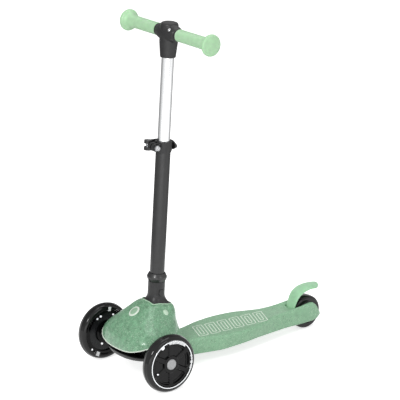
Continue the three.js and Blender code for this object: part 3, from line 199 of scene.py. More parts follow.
class FinishNodes:
    """Builds the node tree of one finish."""

    noise_range: Pair = (0.3, 0.7)
    patch_detail: float = 4.0
    grain_detail: float = 3.0
    gloss_detail: float = 2.0
    gloss_patch: float = 0.6
    flake_edge: Pair = (0.5, 0.3)
    dot_size: float = 1.7
    dot_share: float = 0.8
    dot_shade: float = 0.55
    coat_roughness: float = 0.08
    soft_weight: float = 0.35
    soft_radius: Triple = (0.6, 1.0, 0.6)

    def __init__(self, finish: Finish) -> None:
        """Starts a material, with coordinates that are stretched as the finish says."""
        self.finish = finish
        self.result = bpy.data.materials.new(finish.name)
        self.result.use_nodes = True
        self.tree = self.result.node_tree
        where = new_node(self.tree, "ShaderNodeTexCoord", {}).outputs["Object"]
        mapping = new_node(self.tree, "ShaderNodeMapping", {"Vector": where, "Scale": finish.stretch})
        self.place = mapping.outputs["Vector"]

    def noise(self, size: float, detail: float) -> Plug:
        """Noise whose features are about this many millimetres across."""
        inputs = {"Vector": self.place, "Scale": 1 / (size * MILLIMETRE), "Detail": detail}
        return new_node(self.tree, "ShaderNodeTexNoise", inputs).outputs["Fac"]

    def spread(self, source: Plug, low: float, high: float) -> Plug:
        """The middle of a noise's range carried to low .. high."""
        start, end = self.noise_range
        inputs = {"Value": source, "From Min": start, "From Max": end, "To Min": low, "To Max": high}
        return new_node(self.tree, "ShaderNodeMapRange", inputs).outputs["Result"]

    def mixed(self, share: Plug, first: Plug | Light, second: Plug | Light) -> Plug:
        """Two colours mixed by a share."""
        inputs = {0: share, 6: first, 7: second}
        return new_node(self.tree, "ShaderNodeMix", inputs, data_type="RGBA").outputs[2]

    def flakes(self, size: float, share: float) -> Plug:
        """1 inside the round flakes of a share of the cells, and 0 outside them."""
        inputs = {"Vector": self.place, "Scale": 1 / (size * MILLIMETRE)}
        cells = new_node(self.tree, "ShaderNodeTexVoronoi", inputs)
        split = new_node(self.tree, "ShaderNodeSeparateColor", {"Color": cells.outputs["Color"]})
        inputs = {0: split.outputs["Red"], 1: share}
        chosen = new_node(self.tree, "ShaderNodeMath", inputs, operation="LESS_THAN")
        outside, inside = self.flake_edge
        inputs = {"Value": cells.outputs["Distance"], "From Min": outside, "From Max": inside}
        near = new_node(self.tree, "ShaderNodeMapRange", inputs)
        inputs = {0: chosen.outputs["Value"], 1: near.outputs["Result"]}
        return new_node(self.tree, "ShaderNodeMath", inputs, operation="MULTIPLY").outputs["Value"]

    def colour(self) -> Plug:
        """The finish's colour with its patches, its pale flakes and its dark dots."""
        finish, depth = self.finish, self.finish.patch_depth
        shade = self.spread(self.noise(finish.patch, self.patch_detail), 0.0, 1.0)
        colour = self.mixed(shade, linear(finish.colour, 1 - depth), linear(finish.colour, 1 + depth))
        if finish.flake:
            flakes = self.flakes(finish.flake_size, finish.flake)
            colour = self.mixed(flakes, colour, linear(finish.flake_colour))
            dots = self.flakes(finish.flake_size * self.dot_size, finish.flake * self.dot_share)
            colour = self.mixed(dots, colour, linear(finish.colour, self.dot_shade))
        return colour

    def build(self) -> bpy.types.Material:
        """Sets colour, roughness, relief and the rest, and returns the material."""
        finish, play = self.finish, self.finish.roughness_play
        gloss = self.noise(finish.patch * self.gloss_patch, self.gloss_detail)
        grain = self.noise(finish.grain, self.grain_detail)
        inputs = {"Distance": finish.relief * MILLIMETRE, "Height": grain}
        bump = new_node(self.tree, "ShaderNodeBump", inputs)
        inputs = {
            "Base Color": self.colour(),
            "Roughness": self.spread(gloss, finish.roughness - play, finish.roughness + play),
            "Normal": bump.outputs["Normal"],
            "Metallic": finish.metallic,
            "Specular IOR Level": finish.specular,
            "Coat Weight": finish.coat,
            "Coat Roughness": self.coat_roughness,
            # A glow paints light: emission in the finish's own colour.
            "Emission Color": linear(finish.colour),
            "Emission Strength": finish.glow,
        }
        if finish.soft_depth:
            inputs["Subsurface Weight"] = self.soft_weight
            inputs["Subsurface Radius"] = self.soft_radius
            inputs["Subsurface Scale"] = finish.soft_depth * MILLIMETRE
        fill_inputs(self.tree, self.tree.nodes["Principled BSDF"], inputs)
        return self.result


DECK_GREEN = Finish("deck_green_satin", "deck_green", (136, 180, 145), 0.44, grain=0.7, relief=0.04,
                    patch=8.0, patch_depth=0.1, flake=0.16, flake_colour=(192, 216, 194))
HOOD_GREEN = Finish("hood_green_gloss", "hood_green", (112, 160, 125), 0.3, coat=0.3, grain=0.9,
                    relief=0.03, patch=8.0, patch_depth=0.24, flake=0.2, flake_colour=(180, 208, 182),
                    stretch=(1.0, 1.0, 0.55))
# Pale: a painted highlight along the hood's rim and on its plugs.
HOOD_HIGHLIGHT_PALE = Finish("hood_painted_highlight", "hood_green", (190, 218, 192), 0.25, coat=0.5, patch_depth=0.1)
GRIP_MINT = Finish("grip_mint_soft", "mint", (175, 216, 174), 0.38, grain=0.5, relief=0.03,
                   patch=11.0, patch_depth=0.06, soft_depth=3.0)
GUARD_MINT = Finish("guard_mint_satin", "mint", (162, 210, 170), 0.34, grain=0.6, relief=0.02,
                    patch=10.0, patch_depth=0.06, soft_depth=3.0)
BLACK_PLASTIC = Finish("black_plastic_grained", "black_plastic", (36, 36, 37), 0.36, specular=0.42,
                       grain=0.45, relief=0.03, patch=8.0, patch_depth=0.2)
BLACK_GLOSS = Finish("black_plastic_polished", "black_plastic", (34, 34, 35), 0.34, coat=0.2, grain=0.6,
                     relief=0.01, patch=8.0, patch_depth=0.1)
BLACK_PAINT = Finish("black_paint_satin", "black_paint", (38, 38, 39), 0.34, grain=0.8, relief=0.02,
                     patch=14.0, patch_depth=0.12)
TYRE_BLACK = Finish("tyre_gloss_black", "tyre", (11, 11, 11), 0.08, specular=0.36, grain=1.6, relief=0.01,
                    patch=12.0, patch_depth=0.3, roughness_play=0.03)
# Near-white and glowing: the ring's white line is a painted reflection of its clear plastic.
RING_REFLECTION_WHITE = Finish("rim_ring_bright", "clear_ring", (236, 239, 241), 0.12, metallic=0.6, coat=0.6,
                    grain=4.0, relief=0.03, roughness_play=0.03, patch_depth=0.04, glow=0.12)
CORE_SMOKED = Finish("wheel_core_smoked", "smoked", (9, 9, 10), 0.14, specular=0.2, grain=3.0,
                     relief=0.05, patch=10.0, patch_depth=0.4)
BOARD_WHITE = Finish("light_board_white", "lamp_board", (30, 31, 33), 0.3, specular=0.3, grain=1.0,
                     patch_depth=0.2)
# Pale and glowing: blocks on the ring that paint its reflections and glints.
GLINT_BLOCK_PALE = Finish("ring_reflection_patches", "clear_ring", (212, 216, 219), 0.16, coat=0.5, glow=0.22,
                     grain=1.5, relief=0.12, patch=1.6, patch_depth=0.55)
# White and glowing: lenses that stand where glints show, so that their glow paints the glints.
GLINT_LENS_WHITE = Finish("lens_white_painted_glint", "lamp_board", (246, 248, 250), 0.12, coat=0.5, glow=0.5,
                    grain=1.0, patch_depth=0.02)
HUB_GREY = Finish("hub_cap_grey", "hub_grey", (164, 165, 166), 0.34, metallic=0.2, grain=0.4,
                  relief=0.02, patch=4.0)
SILVER = Finish("tube_silver", "silver_tube", (240, 241, 242), 0.2, metallic=1.0, grain=0.5,
                relief=0.01, patch=12.0, patch_depth=0.03, stretch=(1.0, 1.0, 0.1))
BRIGHT = Finish("steel_polished", "bright_steel", (214, 215, 217), 0.22, metallic=1.0, grain=0.5,
                relief=0.01, patch=3.0, patch_depth=0.05)
NUT_STEEL = Finish("nut_steel_satin", "bright_steel", (178, 179, 181), 0.3, metallic=1.0, grain=0.5,
                   relief=0.03, patch=1.6, patch_depth=0.14)
STEEL = Finish("steel_zinc", "steel", (164, 167, 170), 0.34, metallic=1.0, grain=0.5, relief=0.02,
               patch=3.0, patch_depth=0.12)
NYLON = Finish("nylon_natural", "nylon", (214, 210, 200), 0.45, grain=0.6, soft_depth=1.0)
BUMPER = Finish("bumper_rubber", "bumper_rubber", (36, 36, 36), 0.7, grain=0.5, relief=0.04)
PRINT_PALE = Finish("raised_line_pale", "deck_green", (226, 238, 224), 0.5, grain=0.5, relief=0.02)
# The badge's own pale rim, and the pale lip bead, which paints a highlight along the lip.
BADGE_PALE_AND_HIGHLIGHT = Finish("badge_pale_and_painted_highlight", "hood_green", (222, 234, 220), 0.3, coat=0.3, grain=0.6)
BADGE_FIELD = Finish("badge_field_green", "hood_green", (150, 186, 156), 0.3, coat=0.3, grain=0.6,
                     patch=2.5, patch_depth=0.16)
ALL_FINISHES = (
    DECK_GREEN, HOOD_GREEN, GRIP_MINT, GUARD_MINT, BLACK_PLASTIC, BLACK_PAINT, TYRE_BLACK, RING_REFLECTION_WHITE,
    CORE_SMOKED, BOARD_WHITE, HUB_GREY, SILVER, BRIGHT, STEEL, NYLON, BUMPER,
)


# Surfaces


def table_curve(rows: Table, places: Array) -> Array:
    """Columns of a table read at places along its first column, by smooth cubic pieces.

    A piece starts and ends at its rows' values, with slopes that are the harmonic mean of the steps on
    both sides of a row, or zero where the steps turn, so the curve never overshoots a row.

    Args:
        rows: Table whose first column rises.
        places: Places along the first column, in any shape.

    Returns:
        An array of the shape of places with one more axis, the other columns.
    """
    table = np.array(rows, float)
    x, y = table[:, 0], table[:, 1:]
    step = np.diff(y, axis=0) / np.diff(x)[:, None]
    before, after = step[:-1], step[1:]
    total = np.where(before + after == 0, 1, before + after)
    slope = np.vstack([step[:1], np.where(before * after > 0, 2 * before * after / total, 0), step[-1:]])
    k = np.clip(np.searchsorted(x, places) - 1, 0, len(x) - 2)
    span = (x[k + 1] - x[k])[..., None]
    t = (np.asarray(places, float)[..., None] - x[k][..., None]) / span
    return (
        (2 * t**3 - 3 * t**2 + 1) * y[k]
        + (t**3 - 2 * t**2 + t) * slope[k] * span
        + (3 * t**2 - 2 * t**3) * y[k + 1]
        + (t**3 - t**2) * slope[k + 1] * span
    )


def fade(value: Array, low: float, high: float) -> Array:
    """0 up to low and 1 from high on, with t^2 (3 - 2 t) between them at a share t of the way."""
    t = np.clip((value - low) / (high - low), 0, 1)
    return t**2 * (3 - 2 * t)


def power_of(value: Array, power: Array | float) -> Array:
    """A signed power: the value's size to the power, with the value's own sign."""
    return np.sign(value) * np.abs(value) ** power


def rounded(corners: Table, radius: float, closed: bool = False, steps: int = 5) -> Array:
    """An outline whose corners are rounded.

    Each corner B between A and C is a curve (1 - t)^2 P + 2 t (1 - t) B + t^2 Q, where P and Q lie on
    the sides at the radius from B, or at half the side where that is shorter.

    Args:
        corners: Points of the outline.
        radius: How far from its corner a curve starts.
        closed: Whether the last point joins the first.
        steps: Steps in each curve.

    Returns:
        The points of the rounded outline.
    """
    points = np.array(corners, float)
    before, after = np.roll(points, 1, 0), np.roll(points, -1, 0)
    t = np.linspace(0, 1, steps)[None, :, None]

    def toward(other: Array) -> Array:
        """The point on each corner's side where its curve starts."""
        side = other - points
        length = np.maximum(np.linalg.norm(side, axis=1, keepdims=True), 1e-9)
        return (points + side / length * np.minimum(radius, length / 2))[:, None]

    curves = (1 - t) ** 2 * toward(before) + 2 * t * (1 - t) * points[:, None] + t**2 * toward(after)
    if closed:
        outline = curves.reshape(-1, points.shape[1])
        return np.vstack([outline, outline[:1]])
    return np.vstack([points[:1], curves[1:-1].reshape(-1, points.shape[1]), points[-1:]])


def grid_faces(rows: int, columns: int, wrap: bool = True) -> Array:
    """Four-sided faces of a grid of points; wrap joins the last column to the first."""
    last = columns if wrap else columns - 1
    i, j = np.meshgrid(np.arange(rows - 1), np.arange(last), indexing="ij")
    here, beside = i * columns + j, i * columns + (j + 1) % columns
    return np.stack([here, beside, beside + columns, here + columns], -1).reshape(-1, 4)


@dataclass
class Surface:
    """Points and faces of a surface, in the layout frame or in a piece's own frame."""

    points: Array
    faces: list[tuple[int, ...]]

    @classmethod
    def from_grid(cls, grid: Array, wrap: bool = True, caps: bool = False) -> "Surface":
        """A grid of rows and columns of points as a surface.

        Args:
            grid: Array of rows, columns and three coordinates.
            wrap: Whether the last column joins the first.
            caps: Whether the first and last rows are closed by one flat face each.

        Returns:
            The surface.
        """
        rows, columns = grid.shape[:2]
        faces = [tuple(face) for face in grid_faces(rows, columns, wrap).tolist()]
        if caps:
            faces.append(tuple(range(columns))[::-1])
            faces.append(tuple(range((rows - 1) * columns, rows * columns)))
        return cls(grid.reshape(-1, 3), faces)

    def through(self, change: Change) -> "Surface":
        """The surface with its points carried through a change."""
        return Surface(change(self.points), self.faces)

    def plus(self, *others: "Surface") -> "Surface":
        """This surface and others as one."""
        points, faces = [self.points], list(self.faces)
        for other in others:
            start = sum(len(part) for part in points)
            points.append(other.points)
            faces += [tuple(corner + start for corner in face) for face in other.faces]
        return Surface(np.vstack(points), faces)


def turns(count: int) -> Array:
    """Angles that lie evenly round a full turn."""
    return 2 * np.pi * np.arange(count) / count


def turned_grid(profile: Array, angle: Array) -> Array:
    """Rows of points of a surface of revolution: (r, h) at angle a is (r cos a, r sin a, h)."""
    radius, height = profile[:, 0][:, None], profile[:, 1][:, None]
    return np.stack([radius * np.cos(angle), radius * np.sin(angle), height + 0 * angle], -1)


def turned(profile: Array, count: int = 96) -> Surface:
    """Surface of revolution about Z."""
    return Surface.from_grid(turned_grid(profile, turns(count)))


def z_to_x(points: Array) -> Array:
    """Turns what runs along Z so that it runs along X: (x, y, z) goes to (z, y, -x)."""
    return points[:, [2, 1, 0]] * np.array([1.0, 1.0, -1.0])


def shifted(x: float, y: float, z: float) -> Change:
    """A change that moves points by x, y and z."""
    return lambda points: points + np.array([x, y, z])


def block(low: Sequence[float], high: Sequence[float]) -> Surface:
    """A box between two corners."""
    (x, y, z), (far_x, far_y, far_z) = low, high
    plan = ((x, y), (far_x, y), (far_x, far_y), (x, far_y))
    rows = [[(*corner, level) for corner in plan] for level in (z, far_z)]
    return Surface.from_grid(np.array(rows, float), caps=True)


def rod(radius: float, low: float, high: float, count: int = 64) -> Surface:
    """A round bar on the Z axis."""
    return turned(np.array([[0, low], [radius, low], [radius, high], [0, high]], float), count)


def cross_rod(radius: float, low: float, high: float, place: Pair, count: int = 64) -> Surface:
    """A round bar along X between two places on it, through a place in Y and Z."""
    return rod(radius, low, high, count).through(z_to_x).through(shifted(0, *place))


# Pieces


def to_metres(points: Array) -> Array:
    """Layout millimetres as metres in the frame's own place."""
    return (points + LAYOUT_SHIFT) * MILLIMETRE


def mesh_of(name: str, surface: Surface) -> bpy.types.Mesh:
    """A mesh from a closed surface, with doubles merged and its faces turned outwards."""
    mesh = bpy.data.meshes.new(name)
    mesh.from_pydata(to_metres(surface.points).tolist(), [], surface.faces)
    shape = bmesh.new()
    shape.from_mesh(mesh)
    bmesh.ops.remove_doubles(shape, verts=shape.verts, dist=MERGE_METRES)
    bmesh.ops.dissolve_degenerate(shape, edges=shape.edges, dist=THIN_METRES)
    bmesh.ops.recalc_face_normals(shape, faces=shape.faces)
    shape.to_mesh(mesh)
    shape.free()
    return mesh


def add_object(name: str, data: bpy.types.ID) -> Thing:
    """A new object of the scene, at the origin."""
    thing = bpy.data.objects.new(name, data)
    bpy.context.scene.collection.objects.link(thing)
    return thing


def new_object(name: str, surface: Surface) -> Thing:
    """An object that holds a surface, with its place in its mesh."""
    return add_object(name, mesh_of(name, surface))


def numbers_of(items: bpy.types.bpy_prop_collection, field: str, width: int, kind: type) -> Array:
    """One field of all vertices, edges or faces of a mesh, with a row for each."""
    flat = np.empty(len(items) * width, kind)
    items.foreach_get(field, flat)
    return flat.reshape(-1, width)


def move_mesh(thing: Thing, place: Change) -> None:
    """Carries a mesh that was made round an origin of its own to its place in the layout."""
    vertices = thing.data.vertices
    own = numbers_of(vertices, "co", 3, np.float32) / MILLIMETRE - LAYOUT_SHIFT
    placed = to_metres(place(own.astype(float)))
    vertices.foreach_set("co", placed.astype(np.float32).ravel())
    thing.data.update()


def settle(thing: Thing) -> Thing:
    """Applies the object's modifiers to its mesh."""
    graph = bpy.context.evaluated_depsgraph_get()
    finished = bpy.data.meshes.new_from_object(thing.evaluated_get(graph))
    thing.modifiers.clear()
    thing.data = finished
    return thing


def combine(thing: Thing, tools: Sequence[Thing], operation: str) -> Thing:
    """Takes other closed objects away from an object, or joins them to it.

    Args:
        thing: Closed object.
        tools: Closed objects, which are removed afterwards.
        operation: DIFFERENCE or UNION.

    Returns:
        The object, with the cuts in its mesh.
    """
    for tool in tools:
        modifier = thing.modifiers.new("cut", "BOOLEAN")
        modifier.object, modifier.operation, modifier.solver = tool, operation, "EXACT"
    settle(thing)
    for tool in tools:
        bpy.data.objects.remove(tool)
    return thing


def carve(thing: Thing, surfaces: Sequence[Surface], operation: str = "DIFFERENCE") -> Thing:
    """Takes closed surfaces away from an object, or joins them to it."""
    return combine(thing, [new_object(f"{thing.name}_tool", surface) for surface in surfaces], operation)


def face_outwards(thing: Thing) -> None:
    """Turns an open shell's faces away from the middle of its points."""
    mesh = thing.data
    middle = numbers_of(mesh.vertices, "co", 3, np.float32).mean(0)
    way = (numbers_of(mesh.polygons, "center", 3, np.float32) - middle)
    facing = (way * numbers_of(mesh.polygons, "normal", 3, np.float32)).sum(1)
    if facing @ numbers_of(mesh.polygons, "area", 1, np.float32)[:, 0] < 0:
        mesh.flip_normals()


def thicken(thing: Thing, wall: float, even: bool = False) -> Thing:
    """Gives an open shell a wall on its inner side, as thick at its corners as elsewhere if even."""
    face_outwards(thing)
    modifier = thing.modifiers.new("wall", "SOLIDIFY")
    modifier.thickness, modifier.offset = wall * MILLIMETRE, -1
    modifier.use_even_offset = even
    return settle(thing)


def keep_largest(thing: Thing) -> None:
    """Leaves only the largest connected part of a mesh.

    Each vertex takes the lowest number among its own and its neighbours', again and again until
    nothing changes, so that all the vertices of a part end with one number.
    """
    mesh = thing.data
    start, end = numbers_of(mesh.edges, "vertices", 2, np.int32).T
    label, before = np.arange(len(mesh.vertices)), None
    while before is None or (label != before).any():
        before = label.copy()
        np.minimum.at(label, start, before[end])
        np.minimum.at(label, end, before[start])
        label = label[label]
    lost = np.flatnonzero(label != np.bincount(label).argmax())
    shape = bmesh.new()
    shape.from_mesh(mesh)
    shape.verts.ensure_lookup_table()
    bmesh.ops.delete(shape, geom=[shape.verts[number] for number in lost.tolist()], context="VERTS")
    shape.to_mesh(mesh)
    shape.free()


def soften(thing: Thing, width: float) -> Thing:
    """Rounds the object's sharp edges by this many millimetres."""
    bevel = thing.modifiers.new("soft_edges", "BEVEL")
    bevel.width, bevel.segments = width * MILLIMETRE, BEVEL_STEPS
    bevel.limit_method, bevel.angle_limit = "ANGLE", np.radians(CREASE_DEGREES)
    return settle(thing)


def skin_over(thing: Thing, voxel: float, passes: int) -> Thing:
    """Grows one even skin over an object and smooths it, so that its inner corners get fillets.

    Args:
        thing: Closed object.
        voxel: Size of the skin's cells in millimetres.
        passes: Smoothing passes.

    Returns:
        The object with its new mesh.
    """
    remesh = thing.modifiers.new("skin", "REMESH")
    remesh.mode, remesh.voxel_size = "VOXEL", voxel * MILLIMETRE
    thing.modifiers.new("fillets", "SMOOTH").iterations = passes
    return settle(thing)


def finish_piece(
    thing: Thing, finish: Finish, body: Body, stands_for: Sequence[str] = (), crease: float = CREASE_DEGREES
) -> Thing:
    """Shades an object, gives it its finish and lets it ride on its body.

    Args:
        thing: Object at the origin with its place in its mesh.
        finish: The finish of the whole object.
        body: The body it rides on.
        stands_for: Nodes of the frame that it replaces.
        crease: Edges that turn by more than this many degrees stay sharp.

    Returns:
        The object.
    """
    mesh = thing.data
    mesh.polygons.foreach_set("use_smooth", np.ones(len(mesh.polygons), bool))
    mesh.set_sharp_from_angle(angle=np.radians(crease))
    mesh.materials.clear()
    mesh.materials.append(finish.material())
    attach(thing, body.value)
    if stands_for:
        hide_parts(*stands_for)
    LOG.info("%s: %d faces, rides on %s", thing.name, len(mesh.polygons), body.value)
    return thing


def piece(
    name: str,
    surface: Surface,
    finish: Finish,
    body: Body,
    stands_for: Sequence[str] = (),
    crease: float = CREASE_DEGREES,
) -> Thing:
    """A piece straight from a surface."""
    return finish_piece(new_object(name, surface), finish, body, stands_for, crease)


def copy_of_node(name: str, node: Thing, width: float) -> Thing:
    """A merged copy of a frame node's mesh with its sharp edges rounded.

    Args:
        name: Name of the copy.
        node: The frame's own object, which stays as it is.
        width: How far the edges are rounded, in millimetres.

    Returns:
        The copy.
    """
    thing = add_object(name, node.data.copy())
    shape = bmesh.new()
    shape.from_mesh(thing.data)
    bmesh.ops.remove_doubles(shape, verts=shape.verts, dist=NODE_MERGE_METRES)
    flat = np.radians(FLAT_DEGREES)
    bmesh.ops.dissolve_limit(shape, angle_limit=flat, verts=shape.verts, edges=shape.edges)
    shape.to_mesh(thing.data)
    shape.free()
    return soften(thing, width)


# Sub-assemblies


@dataclass
class Stem:
    """The stem's own frame, which stands behind the front axle and leans back."""

    foot: float = 41.5
    rake_degrees: float = 3.8

    def place(self, points: Array) -> Array:
        """Points of the stem's frame in the layout: turned about X by the rake, then moved back."""
        rake = np.radians(self.rake_degrees)
        x, y, z = points.T
        along = self.foot + y * np.cos(rake) + z * np.sin(rake)
        return np.stack([x, along, z * np.cos(rake) - y * np.sin(rake)], 1)


STEM = Stem()


@dataclass
class Deck:
    """Moulded deck with a waist, a raised pattern on its top and a fork round the rear wheel.

    A row holds a share of the length, the half widths at top and keel as shares of half_width, and the
    heights of top and keel and the dip as shares of top. The pattern's left and right are the first
    row's place across and the step from row to row.
    """

    start: float = 62.0
    end: float = 474.0
    top: float = 56.0
    half_width: float = 56.0
    edge: float = 6.0
    keel: float = 4.0
    dip_power: float = 2.8
    wall: float = 3.5
    cavity: Pair = (68.0, 388.0)
    below: float = 3.0
    rib_spacing: float = 62.0
    rib_wall: float = 2.4
    rib_keel: float = 0.43
    rib_rises: Pair = (3.0, 8.0)
    slot_start: float = 402.3
    slot_half: float = 15.3
    hinge: Pair = (401.0, 45.0)
    hinge_room: float = 5.4
    axle: Pair = (443.0, 36.8)
    axle_hole: float = 4.3
    axle_hole_end: float = 18.3
    head_radius: float = 7.0
    head_seat: float = 21.3
    nut_hole: float = 7.2
    nut_end: float = 20.0
    pattern_start: float = 142.0
    pattern_pitch: float = 30.0
    pattern_length: float = 23.0
    pattern_slant: float = 21.0
    pattern_rows: int = 6
    pattern_left: Pair = (29.0, 1.6)
    pattern_right: Pair = (-25.0, 2.4)
    pattern_insets: Pair = (0.0, 7.5)
    line_corner: float = 3.0
    line_width: float = 2.0
    line_height: float = 0.3
    line_sink: float = 0.35
    rows: Rows = (
        (0, 0.55, 0.6, 1, 0.47, 0), (0.012, 0.597, 0.635, 1.02, 0.45, 0),
        (0.117, 0.61, 0.68, 1.03, 0.44, 0), (0.19, 0.68, 0.77, 1.02, 0.43, 0),
        (0.25, 0.8, 0.85, 1.01, 0.42, 0), (0.31, 0.93, 0.9, 1, 0.41, 0), (0.42, 1, 0.88, 1, 0.42, 0),
        (0.53, 0.92, 0.77, 1, 0.42, 0), (0.61, 0.72, 0.67, 1, 0.4, 0),
        (0.69, 0.54, 0.58, 1, 0.38, 0.01), (0.77, 0.5, 0.52, 1.01, 0.37, 0.06),
        (0.85, 0.5, 0.51, 1.05, 0.36, 0.12), (0.93, 0.49, 0.49, 1.1, 0.36, 0.06),
        (0.961, 0.46, 0.46, 0.98, 0.38, 0.02), (0.985, 0.4, 0.4, 0.74, 0.43, 0),
        (1, 0.34, 0.34, 0.64, 0.46, 0),
    )

    def sizes_at(self, along: Array) -> tuple[Array, ...]:
        """Half widths at top and keel, heights of top and keel, and dip, at places along Y."""
        share = np.clip((along - self.start) / (self.end - self.start), 0, 1)
        scale = np.array([self.half_width] * 2 + [self.top] * 3)
        return tuple(np.moveaxis(table_curve(self.rows, share) * scale, -1, 0))

    def section(self, along: Array) -> Array:
        """Grid of sections: a round keel corner, a side, a round top corner and a dipped top.

        A corner's point at angle a is its centre plus radius times (cos a, sin a). The top at a share
        u from the middle to the edge lies dip times (1 - u^dip_power) below its edge.

        Args:
            along: Places along Y, one for each row.

        Returns:
            Rows of closed sections.
        """
        top_half, low_half, top, low, dip = (size[:, None] for size in self.sizes_at(along))
        keel, edge = np.radians(np.linspace(-90, -8, 7)), np.radians(np.linspace(0, 90, 9))
        room = (top - low) / 2
        keel_radius, edge_radius = np.minimum(self.keel, room), np.minimum(self.edge, room)
        u, floor = np.linspace(1, 0, 12)[None, 1:], np.linspace(0, 1, 6)[None, 1:-1]
        flat = top_half - self.edge
        x = np.hstack([
            floor * (low_half - self.keel),
            low_half - self.keel + keel_radius * np.cos(keel),
            flat + edge_radius * np.cos(edge),
            flat * u,
        ])
        z = np.hstack([
            low + 0 * floor,
            low + self.keel + keel_radius * np.sin(keel),
            top - self.edge + edge_radius * np.sin(edge),
            top - dip * (1 - u**self.dip_power),
        ])
        x, z = np.hstack([x, -x[:, -2::-1]]), np.hstack([z, z[:, -2::-1]])
        return np.stack([x, np.broadcast_to(along[:, None], x.shape), z], -1)

    def height(self, x: Array, along: Array) -> Array:
        """Height of the deck's top at points on it."""
        top_half, _, top, _, dip = self.sizes_at(along)
        u = np.clip(np.abs(x) / (top_half - self.edge), 0, 1)
        return top - dip * (1 - u**self.dip_power)

    def hollow(self) -> Surface:
        """The open space under the deck's top."""
        along = np.linspace(*self.cavity, 40)
        top_half, low_half, top, low, dip = (size[:, None] for size in self.sizes_at(along))
        upper, lower, high = top_half - self.wall, low_half - self.wall, top - dip - self.wall
        foot, shoulder = low - self.below, high - self.wall
        x = np.hstack([lower, upper, upper - self.wall, self.wall - upper, -upper, -lower])
        z = np.hstack([foot, shoulder, high, high, shoulder, foot])
        return Surface.from_grid(np.stack([x, np.broadcast_to(along[:, None], x.shape), z], -1), caps=True)

    def ribs(self) -> list[Surface]:
        """Boxes of the crossing ribs inside the hollow."""
        first, last = self.cavity
        across, lengthwise = (self.rib_keel * self.top + rise for rise in self.rib_rises)
        third, half = (self.half_width - self.wall) / 3, self.rib_wall / 2
        return [
            block((-self.half_width, y, across), (self.half_width, y + self.rib_wall, self.top))
            for y in np.arange(first + self.rib_spacing, last - self.rib_wall, self.rib_spacing)
        ] + [block((x - half, first, lengthwise), (x + half, last, self.top)) for x in (-third, third)]

    def build_tray(self) -> Thing:
        """The deck itself: the closed outer form less hollow, fork slot, hinge room and axle holes."""
        share = np.concatenate([np.linspace(0, 0.9, 120), np.linspace(0.905, 1, 40)])
        grid = self.section(self.start + (self.end - self.start) * share)
        thing = new_object("deck_moulding", Surface.from_grid(grid, caps=True))
        hollow = carve(new_object("deck_hollow", self.hollow()), self.ribs())
        combine(thing, [hollow], "DIFFERENCE")
        carve(thing, [
            block((-self.slot_half, self.slot_start, -3), (self.slot_half, self.end + 5, 160)),
            cross_rod(self.hinge_room, -self.slot_half, self.slot_half, self.hinge, 48),
            cross_rod(self.axle_hole, -60, self.axle_hole_end, self.axle, 32),
            cross_rod(self.head_radius, -60, -self.head_seat, self.axle, 48),
            cross_rod(self.nut_hole, 0, self.nut_end, self.axle, 48),
        ])
        return finish_piece(thing, DECK_GREEN, Body.CHASSIS, ["deck"], 30.0)

    def raised_line(self, corners: Sequence[Pair]) -> Surface:
        """A thin raised rib along a closed outline on the deck's top.

        A point of its section at angle a lies line_width / 2 times cos a beside the outline and
        line_height times sin a above the deck. The section starts and ends line_sink below the deck's
        level, as an angle.

        Args:
            corners: Outline in (x, y).

        Returns:
            The rib as a closed ring.
        """
        steps = 6
        outline = rounded(corners, self.line_corner, closed=True, steps=steps)[:-1]
        t = np.arange(steps)[None, :, None] / steps
        dense = (outline[:, None] + (np.roll(outline, -1, 0) - outline)[:, None] * t).reshape(-1, 2)
        run = np.roll(dense, -1, 0) - np.roll(dense, 1, 0)
        run /= np.linalg.norm(run, axis=1, keepdims=True)
        beside = np.stack([run[:, 1], -run[:, 0]], 1)
        angle = np.linspace(-self.line_sink, np.pi + self.line_sink, 9)
        plan = dense[:, None] + beside[:, None] * (self.line_width / 2 * np.cos(angle))[None, :, None]
        z = self.height(plan[..., 0], plan[..., 1]) + self.line_height * np.sin(angle)[None]
        section = np.concatenate([plan, z[..., None]], -1)
        return Surface.from_grid(np.concatenate([section, section[:1]]))

    def build_pattern(self) -> Thing:
        """Rows of slanted raised frames in the middle of the deck, a plain non-slip pattern."""
        lines = []
        for row in range(self.pattern_rows):
            y = self.pattern_start + self.pattern_pitch * row
            left, right = (first + step * row for first, step in (self.pattern_left, self.pattern_right))
            for inset in self.pattern_insets:
                low, high = y + inset, y + self.pattern_length - inset
                lean_left = self.pattern_slant * inset / (left - right)
                lean_right = self.pattern_slant * (1 - inset / (left - right))
                lines.append(self.raised_line([
                    (left - inset, low + lean_left), (right + inset, low + lean_right),
                    (right + inset, high + lean_right), (left - inset, high + lean_left),
                ]))
        return piece("deck_raised_pattern", lines[0].plus(*lines[1:]), PRINT_PALE, Body.CHASSIS)

    def build(self) -> None:
        """Makes the deck and its pattern."""
        self.build_tray()
        self.build_pattern()


